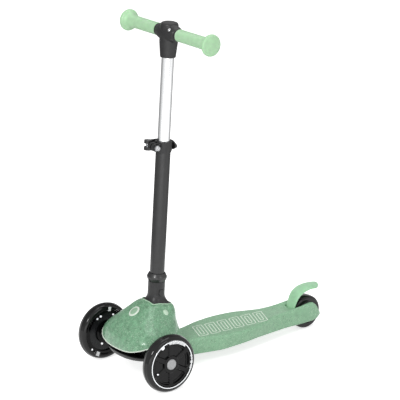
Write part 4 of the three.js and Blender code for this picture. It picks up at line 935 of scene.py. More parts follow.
@dataclass
class Hood:
    """Moulded shell over the steering, with a lip that rises over the axle and a square-shouldered rim.

    A row holds a share of the height, then the half width, the middle's place and the reaches to front
    and rear as shares of half_width, the powers in front and behind, and the lean. The badge and the
    plugs sit at a share of the height and an angle. Their pads are given as half width, half height and
    rise, and the beads as a share of the height and a radius. The plugs and the beads round the rim and
    the lip are pale: painted highlights.
    """

    low: float = 58.0
    high: float = 148.0
    half_width: float = 86.0
    wall: float = 3.0
    lean: float = 0.24
    lip_height: float = 68.0
    lip_rise: float = 20.0
    lip_power: float = 2.6
    rim_power: float = 3.4
    rows: Rows = (
        (0, 0.93, 0.07, 0.593, 1.07, 2.6, 1.8, 0), (0.19, 1, 0.07, 0.64, 1.058, 2.6, 1.8, 0),
        (0.356, 0.971, 0.093, 0.628, 1.012, 2.6, 1.8, 0),
        (0.5, 0.855, 0.14, 0.581, 0.93, 2.6, 1.9, 0.08),
        (0.644, 0.663, 0.233, 0.512, 0.812, 2.6, 2.1, 0.25),
        (0.8, 0.494, 0.395, 0.407, 0.636, 2.8, 2.6, 0.6),
        (0.9, 0.395, 0.512, 0.36, 0.492, 3.3, 3.2, 0.9),
        (0.967, 0.337, 0.57, 0.314, 0.402, 3.9, 3.7, 1), (1, 0.285, 0.593, 0.273, 0.335, 4.4, 4.1, 1),
    )
    round_steps: int = 200
    lip_limit: float = 0.9
    corner_dip: float = 3.0
    corner_start: float = 0.85
    rim_roll: Pair = (1.6, 0.8)
    deck_end: float = 200.0
    deck_growth: Pair = (1.01, 0.3)
    badge: Pair = (0.79, -1.5708)
    badge_rim: Triple = (11.3, 13.0, 1.4)
    badge_blank: Triple = (8.8, 10.4, 2.0)
    plugs: Pair = (0.84, 0.107)
    plug_pad: Triple = (6.3, 6.3, 1.8)
    pad_root: float = 2.0
    rim_highlight_bead: Pair = (0.996, 0.9)
    lip_highlight_bead: Pair = (0.006, 1.3)

    def at(self, share: Array, angle: Array) -> Array:
        """Points of the outer form at shares of its height and angles round it.

        A section's point at angle a is half cos(a)^(2/p) across and reach sin(a)^(2/p) along, with
        the sign of the cosine and sine kept, and it leans back with its place along Y. Towards the
        rim the front corners dip by corner_dip times (2 sin(a) cos(a))^2.

        Args:
            share: Shares of the height.
            angle: Angles, of a shape that goes with share.

        Returns:
            Points, with the coordinates in the last axis.
        """
        share, angle = np.broadcast_arrays(share, angle)
        read = np.moveaxis(table_curve(self.rows, share), -1, 0)
        half, middle, front, rear, front_power, rear_power, lean = read
        c, s = np.cos(angle), np.sin(angle)
        power = 2 / np.where(s < 0, front_power, rear_power)
        x = half * self.half_width * power_of(c, power)
        y = self.half_width * (middle + np.where(s < 0, front, rear) * power_of(s, power))
        lean_from = STEM.foot + self.high * np.tan(np.radians(STEM.rake_degrees))
        z = self.low + (self.high - self.low) * share - lean * self.lean * (y - lean_from)
        nearness = np.clip((share - self.corner_start) / (1 - self.corner_start), 0, 1)
        corner = np.where(s < 0, (2 * s * c) ** 2, 0) * nearness**2
        return np.stack([x, y, z - self.corner_dip * corner], -1)

    def lip_share(self, angle: Array) -> Array:
        """Share of the height at which the lip cuts each angle, by halving the interval 40 times.

        The lip's height at x is lip_height plus lip_rise times (x / half_width) to the lip_power.
        """
        low, high = np.zeros_like(angle), np.full_like(angle, self.lip_limit)
        for _ in range(40):
            middle = (low + high) / 2
            point = self.at(middle, angle)
            lip = self.lip_height + self.lip_rise * np.abs(point[..., 0] / self.half_width) ** self.lip_power
            above = point[..., 2] > lip
            low, high = np.where(above, low, middle), np.where(above, middle, high)
        return (low + high) / 2

    def build_shell(self) -> Thing:
        """The shell: rows from the lip to the rim, a small roll inwards, a wall, and room for the deck."""
        angle = turns(self.round_steps)
        start = self.lip_share(angle)
        t = np.linspace(0, 1, 90)[:, None]
        outer = self.at(start + (1 - start) * t, angle[None])
        inward = (outer[-1].mean(0) - outer[-1])[None]
        inward = inward / np.linalg.norm(inward, axis=-1, keepdims=True)
        in_by, up_by = self.rim_roll
        roll = np.linspace(0, 1, 6)[1:, None, None]
        rim = outer[-1][None] + inward * in_by * np.sin(roll * np.pi / 2)
        rim = rim + np.array([0, 0, up_by]) * np.sin(roll * np.pi)
        thing = new_object("hood_shell", Surface.from_grid(np.concatenate([outer, rim])))
        thicken(thing, self.wall, even=True)
        deck = Deck()
        grown = deck.section(np.linspace(deck.start, self.deck_end, 30))
        wider, higher = self.deck_growth
        grown[..., 0] *= wider
        grown[..., 2] += higher
        carve(thing, [Surface.from_grid(grown, caps=True)])
        keep_largest(thing)
        return finish_piece(thing, HOOD_GREEN, Body.CHASSIS, ["front_hood"], 50.0)

    def on_surface(self, share: float, angle: float) -> tuple[Array, Array, Array, Array]:
        """A point of the outer form with its outward normal and two directions along the surface."""
        step = 1e-3
        here = self.at(np.array(share), np.array(angle))
        round_way = self.at(np.array(share), np.array(angle + step)) - here
        up_way = self.at(np.array(share + step), np.array(angle)) - here
        round_way /= np.linalg.norm(round_way)
        normal = np.cross(round_way, up_way)
        normal /= np.linalg.norm(normal)
        return here, normal, round_way, np.cross(normal, round_way)

    def pad(self, share: float, angle: float, half_across: float, half_up: float, rise: float) -> Surface:
        """A low dome on the shell: rise times (1 - u^2)^0.4 at a share u of its radius."""
        here, normal, across, up = self.on_surface(share, angle)
        u = np.concatenate([np.linspace(0, 0.9, 10), [0.95, 0.985, 1.0]])[:, None, None]
        turn = turns(48)[None, :, None]
        lift = rise * (1 - u**2) ** 0.4
        flat = here + across * half_across * u * np.cos(turn) + up * half_up * u * np.sin(turn)
        foot = flat[-1:] - normal * self.pad_root
        return Surface.from_grid(np.concatenate([flat + normal * lift, foot]), caps=True)

    def bead(self, line: Array, radius: float) -> Surface:
        """A round bead along a closed line: radius times cos(t) outwards and sin(t) up round each point."""
        out = line - line.mean(0)
        out[:, 2] = 0
        out /= np.linalg.norm(out, axis=1, keepdims=True)
        t = turns(10)[None, :, None]
        up = np.array([0.0, 0.0, 1.0])
        grid = line[:, None] + radius * (np.cos(t) * out[:, None] + np.sin(t) * up)
        return Surface.from_grid(np.concatenate([grid, grid[:1]]))

    def build_trim(self) -> None:
        """The plain oval badge, the screw plugs on both sides, and the beads round the rim and the lip; plugs
        and beads are pale, painted highlights.
        """
        piece("hood_badge_rim", self.pad(*self.badge, *self.badge_rim), BADGE_PALE_AND_HIGHLIGHT, Body.CHASSIS)
        piece("hood_badge_blank", self.pad(*self.badge, *self.badge_blank), BADGE_FIELD, Body.CHASSIS)
        share, angle = self.plugs
        for side in Side:
            turn = angle if side is Side.LEFT else np.pi - angle
            # The plugs' pale colour paints a highlight on them.
            piece(f"hood_plug_{side.word}", self.pad(share, turn, *self.plug_pad), HOOD_HIGHLIGHT_PALE, Body.CHASSIS)
        angle = turns(self.round_steps)
        # The rim's bead is pale: a painted highlight along the rim.
        share, radius = self.rim_highlight_bead
        rim = self.at(np.array([[share]]), angle[None])[0]
        piece("hood_rim_highlight_bead", self.bead(rim, radius), HOOD_HIGHLIGHT_PALE, Body.CHASSIS)
        # The lip's bead is pale: a painted highlight along the lip.
        share, radius = self.lip_highlight_bead
        lip = self.at(self.lip_share(angle) + share, angle)
        piece("hood_lip_highlight_bead", self.bead(lip, radius), BADGE_PALE_AND_HIGHLIGHT, Body.CHASSIS)

    def build(self) -> None:
        """Makes the shell and its trim."""
        self.build_shell()
        self.build_trim()


@dataclass
class Truck:
    """The black belly under the hood, as a smooth skin over the frame's own truck.

    A row holds shares of the height, of half_width and of half_depth, and the power.
    """

    low: float = 45.0
    high: float = 58.0
    half_width: float = 69.0
    half_depth: float = 44.0
    stand_off: float = 0.35
    wall: float = 0.8
    rows: Rows = (
        (0, 0.6, 0.62, 2), (0.12, 0.75, 0.76, 2.1), (0.4, 0.92, 0.93, 2.2), (0.7, 0.98, 0.98, 2.3),
        (1, 1, 1, 2.4),
    )

    def build(self) -> None:
        """Makes the skin: superellipse sections from the belly's flat up to its brim, with a wall."""
        share = np.linspace(0, 1, 24)[:, None]
        half, deep, power = np.moveaxis(table_curve(self.rows, share), -1, 0)
        angle = turns(128)[None]
        x = (half * self.half_width + self.stand_off) * power_of(np.cos(angle), 2 / power)
        y = (deep * self.half_depth + self.stand_off) * power_of(np.sin(angle), 2 / power)
        z = self.low - self.stand_off + (self.high - self.low + self.stand_off) * share + 0 * angle
        side = np.stack([x, y, z], -1)
        floor = side[:1] * np.array([0.0, 0.0, 1.0])
        thing = new_object("truck_skin", Surface.from_grid(np.concatenate([floor, side])))
        finish_piece(thicken(thing, self.wall), BLACK_PLASTIC, Body.TRUCK)


@dataclass
class Socket:
    """Trumpet-footed socket of the stem with its ring and push buttons."""

    foot: float = 100.0
    foot_radius: float = 20.0
    floor: float = 12.0
    skirt_radius: float = 30.0
    skirt_low: float = 139.0
    skirt_high: float = 166.0
    skirt_edge: Pair = (2.5, 1.2)
    curve: float = 2.2
    rim_power: float = 3.6
    rim_reach: float = 2.0
    radius: float = 17.5
    bore: float = 15.3
    top: float = 191.0
    bevel: float = 0.5
    ring_foot: float = 0.3
    ring_top: float = 208.5
    ring_top_radius: float = 17.0
    ring_bulge: float = 20.5
    ring_band: float = 1.6
    button_place: float = 169.5
    button: Pair = (10.0, 13.6)
    button_corner: float = 2.5
    button_room: float = 0.4
    button_edge: float = 0.5

    def build_socket(self) -> Thing:
        """The socket: its radius falls from the skirt's as (1 - share)^curve, and its foot is square."""
        share = np.linspace(0, 1, 40)
        height = self.skirt_low + (self.skirt_high - self.skirt_low) * share
        fall = (1 - share) ** self.curve
        radius = self.radius + (self.skirt_radius - self.radius) * fall
        power = 2 + (self.rim_power - 2) * np.clip(fall * self.rim_reach, 0, 1)
        under, edge = self.skirt_edge
        foot = np.array([
            (NEAR_AXIS, self.foot, 2), (self.foot_radius, self.foot, 2),
            (self.foot_radius, self.skirt_low - under, 2),
            (self.skirt_radius, self.skirt_low - edge, self.rim_power),
        ])
        mouth = np.array([
            (self.radius, self.top - self.bevel, 2), (self.radius - self.bevel, self.top, 2),
            (self.bore, self.top, 2), (self.bore, self.foot + self.floor, 2),
            (NEAR_AXIS, self.foot + self.floor, 2),
        ])
        rows = np.vstack([foot, np.stack([radius, height, power], 1), mouth])
        angle = turns(128)
        r, h, p = (rows[:, k][:, None] for k in range(3))
        x, y = r * power_of(np.cos(angle), 2 / p), r * power_of(np.sin(angle), 2 / p)
        surface = Surface.from_grid(np.stack([x, y, h + 0 * angle], -1), caps=True)
        thing = new_object("stem_socket_trumpet", surface.through(STEM.place))
        carve(thing, [self.window()])
        return finish_piece(thing, BLACK_PLASTIC, Body.CHASSIS, ["stem_socket"], 35.0)

    def window(self) -> Surface:
        """A block with rounded corners right through the socket along X, with room round the buttons."""
        w, h = (size / 2 + self.button_room for size in self.button)
        outline = rounded([(-w, -h), (w, -h), (w, h), (-w, h)], self.button_corner, closed=True)[:-1]
        outline[:, 1] += self.button_place
        rows = np.array([np.insert(outline, 0, x, axis=1) for x in (-40.0, 40.0)])
        return Surface.from_grid(rows, caps=True).through(STEM.place)

    def build_ring(self) -> Thing:
        """The bevelled ring round the socket's mouth."""
        middle, low = (self.top + self.ring_top) / 2, self.top + self.ring_foot
        profile = rounded([
            (self.bore, low), (self.radius, low), (self.ring_bulge, middle - self.ring_band),
            (self.ring_bulge, middle + self.ring_band), (self.ring_top_radius, self.ring_top),
            (self.bore, self.ring_top),
        ], 0.5, closed=True, steps=4)
        surface = turned(profile).through(STEM.place)
        return piece("socket_ring_bevelled", surface, BLACK_GLOSS, Body.CHASSIS, ["socket_ring"])

    def build_buttons(self, nodes: dict[str, Thing]) -> None:
        """The two push buttons with rounded edges."""
        for side, body in ((Side.LEFT, Body.BUTTON_LEFT), (Side.RIGHT, Body.BUTTON_RIGHT)):
            node = f"socket_button_{side.word}"
            thing = copy_of_node(f"push_button_{side.word}", nodes[node], self.button_edge)
            finish_piece(thing, BLACK_PLASTIC, body, [node])

    def build(self, nodes: dict[str, Thing]) -> None:
        """Makes socket, ring and buttons."""
        self.build_socket()
        self.build_ring()
        self.build_buttons(nodes)


@dataclass
class Tubes:
    """The black lower tube and the silver upper tube."""

    lower: Pair = (15.0, 13.0)
    lower_span: Pair = (112.3, 481.0)
    upper: Pair = (12.5, 11.0)
    upper_span: Pair = (335.0, 689.3)
    edge: float = 0.4

    def build(self) -> None:
        """Makes both tubes, with button windows and a slit in the lower one."""
        lower = new_object("lower_tube_black", self.tube(self.lower, self.lower_span))
        clamp, (_, end) = Clamp(), self.lower_span
        slit = block((-clamp.slit / 2, -30, clamp.low), (clamp.slit / 2, 0, end + 3))
        carve(lower, [Socket().window(), slit.through(STEM.place)])
        finish_piece(lower, BLACK_PAINT, Body.CHASSIS, ["lower_tube"])
        upper = self.tube(self.upper, self.upper_span)
        piece("upper_tube_silver", upper, SILVER, Body.HANDLEBAR, ["upper_tube"])

    def tube(self, radii: Pair, span: Pair) -> Surface:
        """A tube with slightly rounded ends."""
        (outer, inner), (low, high) = radii, span
        corners = [(inner, low), (outer, low), (outer, high), (inner, high)]
        return turned(rounded(corners, self.edge, closed=True, steps=4)).through(STEM.place)


@dataclass
class Clamp:
    """Quick-release clamp: collar with two ears, nut and forked lever.

    The nut's shares are of its length, for its straight side, and of its radius, for its end. Its
    recess is a radius and a depth. A row of the lever holds a share of its length, its height as a
    share of lever_height, and how many walls it moves outwards.
    """

    low: float = 461.0
    high: float = 483.5
    bore: float = 15.3
    bore_bevel: float = 0.7
    outer: float = 17.5
    mouth: float = 13.3
    tube_top: float = 481.3
    slit: float = 3.0
    taper: float = 5.0
    bevel: float = 1.0
    edge: float = 0.5
    ear_radius: float = 8.0
    ear_reach: float = 24.4
    ear_outer: float = 9.0
    neck_overlap: float = 3.0
    middle: float = 472.95
    bolt_hole: float = 3.3
    nut_gap: float = 0.3
    nut_radius: float = 5.8
    nut_length: float = 8.4
    nut_shares: Pair = (0.62, 0.72)
    nut_recess: Pair = (2.2, 1.4)
    nut_bore_end: float = 6.7
    barrel_place: float = 19.0
    barrel_hole: float = 4.3
    lever_height: float = 20.0
    lever_head: float = 8.0
    lever_slot: float = 3.8
    lever_slot_room: float = 0.6
    lever_face: float = -9.7
    lever_wall: float = 4.0
    lever_gap: float = 2.0
    tip_degrees: float = 58.0
    lever_rows: Rows = ((0, 1, 0), (0.55, 1, 0), (0.8, 0.9, 0), (0.92, 0.66, 0.3), (1, 0.3, 1))

    def at_bolt(self, points: Array) -> Array:
        """Points round the bolt's middle, placed in the stem's frame."""
        return points + np.array([0, -self.ear_reach, self.middle])

    def build_collar(self) -> Thing:
        """Ring, ear boss and neck as one moulding, slit and bored."""
        thing = new_object("clamp_collar_moulding", turned(np.array([
            (NEAR_AXIS, self.low), (self.bore + self.bore_bevel, self.low),
            (self.outer, self.low + self.taper), (self.outer, self.high - self.bevel),
            (self.outer - self.bevel, self.high), (NEAR_AXIS, self.high),
        ])))
        ear, half, below, above = self.ear_outer, self.slit / 2, self.low - 3, self.high + 3
        boss = rod(self.ear_radius, -ear, ear).through(z_to_x).through(self.at_bolt)
        neck = block(
            (-ear, -self.ear_reach, self.middle - self.ear_radius),
            (ear, self.neck_overlap - self.bore, self.middle + self.ear_radius),
        )
        carve(thing, [boss, neck], "UNION")
        carve(thing, [
            rod(self.bore, below, self.tube_top, 96),
            rod(self.mouth, below, above, 96),
            block((-half, -60, below), (half, 0, above)),
            rod(self.bolt_hole, -30, 30, 32).through(z_to_x).through(self.at_bolt),
        ])
        move_mesh(soften(thing, self.edge), STEM.place)
        return finish_piece(thing, BLACK_PLASTIC, Body.CHASSIS, ["clamp_collar"])

    def build_nut(self) -> Thing:
        """The domed nut with a small recess in its end."""
        face = self.ear_outer + self.nut_gap
        end, bore_end = face + self.nut_length, self.ear_outer + self.nut_bore_end
        straight, dome = self.nut_shares
        recess, depth = self.nut_recess
        profile = rounded([
            (self.bolt_hole, face), (self.nut_radius, face),
            (self.nut_radius, face + self.nut_length * straight), (self.nut_radius * dome, end),
            (recess, end), (recess, end - depth), (NEAR_AXIS, end - depth),
        ], 0.7, steps=5)
        closing = [[NEAR_AXIS, bore_end], [self.bolt_hole, bore_end], [self.bolt_hole, face]]
        surface = turned(np.vstack([profile, closing]), 64).through(z_to_x).through(self.at_bolt)
        return piece("clamp_nut_domed", surface.through(STEM.place), NUT_STEEL, Body.CHASSIS, ["clamp_nut"])

    def lever_path(self) -> tuple[Array, Array, Array]:
        """Places and outward directions along the lever's inner line, with shares along it."""
        inner = self.outer + self.lever_gap
        share = np.linspace(0, 1, 60)
        turn = np.pi - (np.pi - np.radians(self.tip_degrees)) * share
        outward = np.stack([np.cos(turn), np.sin(turn)], 1)
        lead = np.linspace(-self.ear_reach, -1, 8)
        straight = np.stack([0 * lead - inner, lead], 1)
        before = np.tile([-1.0, 0.0], (len(lead), 1))
        shares = np.concatenate([0 * lead, share])
        return np.vstack([straight, inner * outward]), np.vstack([before, outward]), shares

    def build_lever(self) -> Thing:
        """The lever: a rounded strap swept round the collar, a head round its barrel and a slot in it.

        A section's point at angle a lies wall / 2 (1 + cos(a)^(1/2)) outwards and half the height
        times sin(a)^(1/2) up, with the signs kept.
        """
        places, outward, share = self.lever_path()
        height, out = np.moveaxis(table_curve(self.lever_rows, share), -1, 0)
        angle, half, middle = turns(40)[None], self.lever_height / 2, self.middle
        depth = self.lever_wall * (out[:, None] + 0.5 + 0.5 * power_of(np.cos(angle), 0.5))
        rise = half * height[:, None] * power_of(np.sin(angle), 0.5)
        plan = places[:, None] + outward[:, None] * depth[..., None]
        grid = np.concatenate([plan, middle + rise[..., None]], -1)
        thing = new_object("clamp_lever_strap", Surface.from_grid(grid, caps=True))
        at_barrel = shifted(-self.barrel_place, -self.ear_reach, 0)
        carve(thing, [rod(self.lever_head, middle - half, middle + half).through(at_barrel)], "UNION")
        slot = rod(self.lever_head + self.lever_slot_room, middle - self.lever_slot, middle + self.lever_slot)
        carve(thing, [
            slot.through(at_barrel),
            block((self.lever_face, -60, 430), (20, 0, 520)),
            rod(self.barrel_hole, 430, 520, 32).through(at_barrel),
        ])
        move_mesh(soften(thing, self.edge), STEM.place)
        return finish_piece(thing, BLACK_PLASTIC, Body.LEVER, ["clamp_lever"])

    def build(self) -> None:
        """Makes collar, nut and lever."""
        self.build_collar()
        self.build_nut()
        self.build_lever()


@dataclass
class Handlebar:
    """T joint, its screw and the two grips.

    The groove is its place along the bar, its width and its depth. The dome's rows are shares of the
    neck's radius and of the dome's height, and the cap's rows are shares of its radius and of the
    grip's length.
    """

    height: float = 703.0
    bar_radius: float = 11.3
    tube_radius: float = 12.8
    sleeve_end: float = 34.8
    sleeve_end_radius: float = 12.6
    sleeve_radius: float = 19.0
    neck_length: float = 49.5
    neck_foot_radius: float = 15.6
    neck_radius: float = 18.6
    dome: float = 22.0
    dome_rows: Rows = ((1.0, 0.5), (0.97, 0.74), (0.87, 0.9), (0.6, 0.98))
    skin_cell: float = 0.62
    skin_passes: int = 14
    tube_seat: float = -13.4
    grip_start: float = 35.0
    grip_end: float = 141.5
    grip_radius: float = 12.6
    grip_wall: float = 4.0
    cap_radius: float = 22.0
    cap_start: float = 0.945
    cap_rows: Rows = ((1.0, 0.945), (0.985, 0.968), (0.9, 0.984), (0.6, 0.995))
    screw_place: float = 18.5
    screw_degrees: float = 34.0
    screw_radius: float = 3.6
    screw_room: float = 0.7
    screw_seat: float = 17.5
    groove: Triple = (29.5, 1.3, 1.0)

    def on_bar(self, points: Array) -> Array:
        """Points round the bar's middle, placed in the layout."""
        return STEM.place(points + np.array([0, 0, self.height]))

    def build_joint(self) -> Thing:
        """Sleeve, neck and dome grown into one skin, so that fillets run between them.

        The sleeve is a barrel: at a share u of its half length its radius rises from the end's by
        (1 - |u|^2.4)^1.5 of the difference to its middle's. A groove near each end takes its depth
        times exp(-(distance / width)^2) off it.
        """
        end, small, big = self.sleeve_end, self.sleeve_end_radius, self.sleeve_radius
        u = np.linspace(-1, 1, 121)
        place, width, depth = self.groove
        dip = depth * np.exp(-(((np.abs(end * u) - place) / width) ** 2))
        barrel = np.stack([small + (big - small) * (1 - np.abs(u) ** 2.4) ** 1.5 - dip, end * u], 1)
        sleeve = turned(np.vstack([[[NEAR_AXIS, -end]], barrel, [[NEAR_AXIS, end]]])).through(z_to_x)
        wide, length = self.neck_radius, self.neck_length
        foot = [(NEAR_AXIS, -length), (self.neck_foot_radius, -length), (wide, -wide)]
        dome = [(wide * radius, self.dome * height) for radius, height in self.dome_rows]
        thing = new_object("t_joint_moulding", sleeve)
        carve(thing, [turned(np.array([*foot, *dome, (NEAR_AXIS, self.dome)]))], "UNION")
        seat = rod(self.screw_radius + self.screw_room, self.screw_seat - 3.2, 30, 40)
        carve(thing, [seat.through(self.to_screw)])
        skin_over(thing, self.skin_cell, self.skin_passes)
        carve(thing, [
            rod(self.bar_radius, -60, 60, 64).through(z_to_x),
            rod(self.tube_radius, -length - 5, self.tube_seat, 64),
        ])
        move_mesh(thing, self.on_bar)
        return finish_piece(thing, BLACK_PLASTIC, Body.HANDLEBAR, ["t_joint"])

    def to_screw(self, points: Array) -> Array:
        """Points on the Z axis turned to the screw's direction, forwards and up, and moved along the bar."""
        turn = np.pi / 2 - np.radians(self.screw_degrees)
        x, y, z = points.T
        forward, up = y * np.cos(turn) - z * np.sin(turn), y * np.sin(turn) + z * np.cos(turn)
        return np.stack([x + self.screw_place, forward, up], 1)

    def build_screw(self) -> Thing:
        """The button-headed screw with a recess."""
        radius, top = self.screw_radius, self.screw_seat + 0.8
        profile = rounded([
            (NEAR_AXIS, top - 4), (radius, top - 4), (radius, top - 0.6), (radius * 0.6, top),
            (1.0, top), (0.9, top - 0.7), (NEAR_AXIS, top - 0.7),
        ], 0.4, steps=4)
        surface = turned(profile, 48).through(self.to_screw).through(self.on_bar)
        return piece("t_joint_screw_head", surface, BRIGHT, Body.HANDLEBAR, ["t_joint_screw"])

    def grip_profile(self) -> Array:
        """The grip's outline as (radius, place along the bar), from its inner edge to its closed end."""
        length, r, wide = self.grip_end - self.grip_start, self.grip_radius, self.cap_radius
        cap, inner_end = wide - r, self.grip_end - self.grip_wall
        rows = [
            (0, r), (0.2, r), (0.55, r), (0.76, 1.03 * r), (0.835, r + cap * 0.15),
            (0.88, r + cap * 0.45), (0.912, r + cap * 0.86), (0.93, r + cap * 0.97),
            (self.cap_start, r + cap),
        ]
        share = np.linspace(0, self.cap_start, 90)
        body = np.stack([table_curve(rows, share)[:, 0], self.grip_start + length * share], 1)
        rim = [(wide * radius, self.grip_start + length * place) for radius, place in self.cap_rows]
        rim = rounded([*rim, (NEAR_AXIS, self.grip_end)], 2.5, steps=6)
        inner = [(NEAR_AXIS, inner_end), (self.bar_radius, inner_end), (self.bar_radius, self.grip_start)]
        return np.vstack([rounded(body, 0.2, steps=2), rim[1:], inner, body[:1]])

    def build_grips(self) -> None:
        """Both grips, flared to a round end."""
        for side in Side:
            surface = turned(self.grip_profile(), 112).through(z_to_x)
            surface = surface.through(lambda points, side=side: points * np.array([side.value, 1.0, 1.0]))
            name = f"grip_{side.word}_moulding"
            piece(name, surface.through(self.on_bar), GRIP_MINT, Body.HANDLEBAR, [f"grip_{side.word}"])

    def build(self) -> None:
        """Makes joint, screw and grips."""
        self.build_joint()
        self.build_screw()
        self.build_grips()


@dataclass
class FrontWheel:
    """One front wheel: tyre, ring, smoked core, lamp board and lenses, and hub cap, with painted light on the
    ring and the lenses.

    A lamp's lens is given as its radius and angle on the wheel and its own radius; the lenses stand where
    glints show, and their white glow paints those glints. A glint block is given as two angles and two
    radii; these pale glowing blocks paint the ring's reflections, as its white glowing line does. Angles
    are in degrees from the rear upwards. The groove is its depth, its distance from the core's rim and its
    width. The cap's rows are shares of its radius and heights over the core's face.
    """

    side: Side
    radius: float = 60.0
    width: float = 24.0
    half_track: float = 113.4
    shoulder: float = 8.0
    crown: float = 1.0
    rim_edge: float = 0.5
    ring_radius: float = 50.2
    ring_wall: float = 3.4
    ring_gap: float = 0.3
    ring_proud: float = 0.5
    ring_face: float = 1.9
    ring_seat: Pair = (1.2, 0.8)
    sleeve_edge: Pair = (1.4, 2.0)
    core_set_in: float = 1.8
    hub_radius: float = 17.0
    spoke_count: int = 6
    spoke_width: float = 8.0
    spoke_fade: float = 2.0
    spoke_rise: float = 0.75
    dish_depth: float = 3.84
    dish_fades: Triple = (2.0, 5.0, 3.0)
    groove: Triple = (0.7, 7.5, 0.8)
    bearing_seat: float = 11.3
    bearing_stop: float = 3.6
    axle_room: float = 7.2
    outer_seat: Pair = (1.9, 0.4)
    board: Pair = (24.0, 41.0)
    board_gap: float = 0.3
    board_wall: float = 1.6
    pocket_depth: float = 5.0
    pocket_room: Pair = (0.6, 0.4)
    # Lenses stand where glints show; their white glow paints them.
    inboard_glint_spots: Rows = ((37.5, 109, 2.4), (38.2, 123, 2.2), (26.8, -112, 2.4), (38.0, 60, 2.0))
    rim_glint_spots: Rows = ((48.4, -141, 2.0),)
    outboard_glint_spots: Rows = ((45.0, 118, 4.2), (36.3, -158, 1.7))
    lamp_sinks: Triple = (1.0, 1.6, 1.6)
    lens_rises: Triple = (2.0, 2.9, 3.1)
    # Arcs of the pale glowing blocks that paint the ring's reflections.
    outboard_glint_blocks: Rows = (
        (46, 54, 43.8, 50.4), (56, 66, 43.4, 50.6), (68, 77, 43.6, 50.4), (79, 88, 43.4, 50.6),
        (90, 98, 44.2, 50.2), (-22, -13, 47.0, 50.6), (-9, -3, 46.2, 50.8), (1, 5, 47.4, 50.4),
        (8, 12, 46.6, 50.6), (16, 18, 47.8, 50.2),
    )
    inboard_glint_blocks: Rows = ((78, 85, 44.7, 53.6), (-123, -114, 44.7, 53.6))
    glint_block_depth: float = 2.2
    glint_block_proud: Pair = (0.25, 0.1)
    cap_radius: float = 11.0
    cap_room: float = 0.6
    cap_wall: float = 1.4
    cap_rows: Rows = ((0.55, 1.6), (0.62, 2.5), (0.84, 2.3), (1.0, 0.6), (1.0, -1.6))
    cap_middle: Triple = (1.7, 0.3, 0.4)

    @property
    def body(self) -> Body:
        """The body that this wheel's pieces ride on."""
        return Body.WHEEL_LEFT if self.side is Side.LEFT else Body.WHEEL_RIGHT

    def place(self, points: Array) -> Array:
        """Points of the wheel's own frame, whose Z axis points outboard, in the layout."""
        x, y, z = points.T
        sign = self.side.value
        return np.stack([sign * (self.half_track + z), y, self.radius - sign * x], 1)

    def add(
        self,
        name: str,
        surface: Surface,
        finish: Finish,
        nodes: Sequence[str] = (),
        crease: float = CREASE_DEGREES,
    ) -> Thing:
        """A piece of this wheel, named for its side as the nodes are that it stands for."""
        word = self.side.word
        stands_for = [f"{node}_{word}" for node in nodes]
        return piece(f"{name}_{word}", surface.through(self.place), finish, self.body, stands_for, crease)

    def build_tyre(self) -> Thing:
        """The tyre: round shoulders into a slightly crowned tread."""
        half, outer, inner, s = self.width / 2, self.radius - self.crown, self.ring_radius, self.shoulder
        angle = np.linspace(0, np.pi / 2, 14)
        upper = np.stack([outer - s + s * np.sin(angle), half - s + s * np.cos(angle)], 1)
        tread = np.linspace(1, -1, 11)[1:-1]
        crown = np.stack([outer + self.crown * (1 - tread**2), tread * (half - s)], 1)
        start = np.array([(inner, half - self.rim_edge), (inner + self.rim_edge, half)])
        mirror = np.array([1, -1])
        profile = np.vstack([start, upper, crown, upper[::-1] * mirror, start[::-1] * mirror, start[:1]])
        return self.add("tyre_cast", turned(profile, 160), TYRE_BLACK, ["tyre"])

    def build_ring(self) -> None:
        """The white glowing line on the outboard face, a painted reflection of the clear ring, and the smoked
        sleeve that it sits on.
        """
        outer, inner = self.ring_radius - self.ring_gap, self.ring_radius - self.ring_wall
        half, face = self.width / 2, self.width / 2 + self.ring_proud
        line = outer - self.ring_face
        inner_seat, outer_seat = (face - depth for depth in self.ring_seat)
        across, along = self.sleeve_edge
        sleeve = rounded([
            (inner, along - half), (inner + across, -face), (outer, -face), (outer, outer_seat),
            (line, inner_seat), (inner, half - self.ring_wall),
        ], 0.7, closed=True, steps=4)
        self.add("rim_sleeve_smoked", turned(sleeve, 160), CORE_SMOKED, ["rim_ring"])
        corners = [(line, inner_seat), (outer, outer_seat), (outer, face), (line, face)]
        bright = rounded(corners, 0.4, closed=True, steps=4)
        self.add("rim_ring_bright", turned(bright, 160), RING_REFLECTION_WHITE)

    def spot(self, radius: Array | float, degrees: Array | float) -> tuple[Array | float, Array | float]:
        """Own x and y of a place given by its radius and its angle from the rear upwards."""
        angle = np.radians(degrees)
        return -self.side.value * radius * np.sin(angle), radius * np.cos(angle)

    def arc_block(self, arc: Sequence[float], low: float, high: float) -> Surface:
        """A block bent round the wheel, as the glint blocks on the ring are.

        Args:
            arc: The angles in degrees and the radii between which it lies.
            low: Height of its inboard face.
            high: Height of its outboard face.

        Returns:
            The block.
        """
        first, last, inner, outer = arc
        angle = np.linspace(first, last, 12)
        corners = [(inner, low), (outer, low), (outer, high), (inner, high)]
        section = rounded(corners, 0.4, closed=True, steps=3)[:-1]
        x, y = self.spot(section[:, 0][None], angle[:, None])
        return Surface.from_grid(np.stack([x, y, section[:, 1][None] + 0 * x], -1), caps=True)

    def build_glint_blocks(self) -> None:
        """Pale glowing blocks on both faces of the ring, which paint its reflections and glints."""
        face, depth = self.width / 2 + self.ring_proud, self.glint_block_depth
        outboard, inboard = self.glint_block_proud
        blocks = [self.arc_block(arc, face - depth, face + outboard) for arc in self.outboard_glint_blocks]
        blocks += [self.arc_block(arc, -face - inboard, -face + depth) for arc in self.inboard_glint_blocks]
        self.add("ring_glint_blocks", blocks[0].plus(*blocks[1:]), GLINT_BLOCK_PALE)

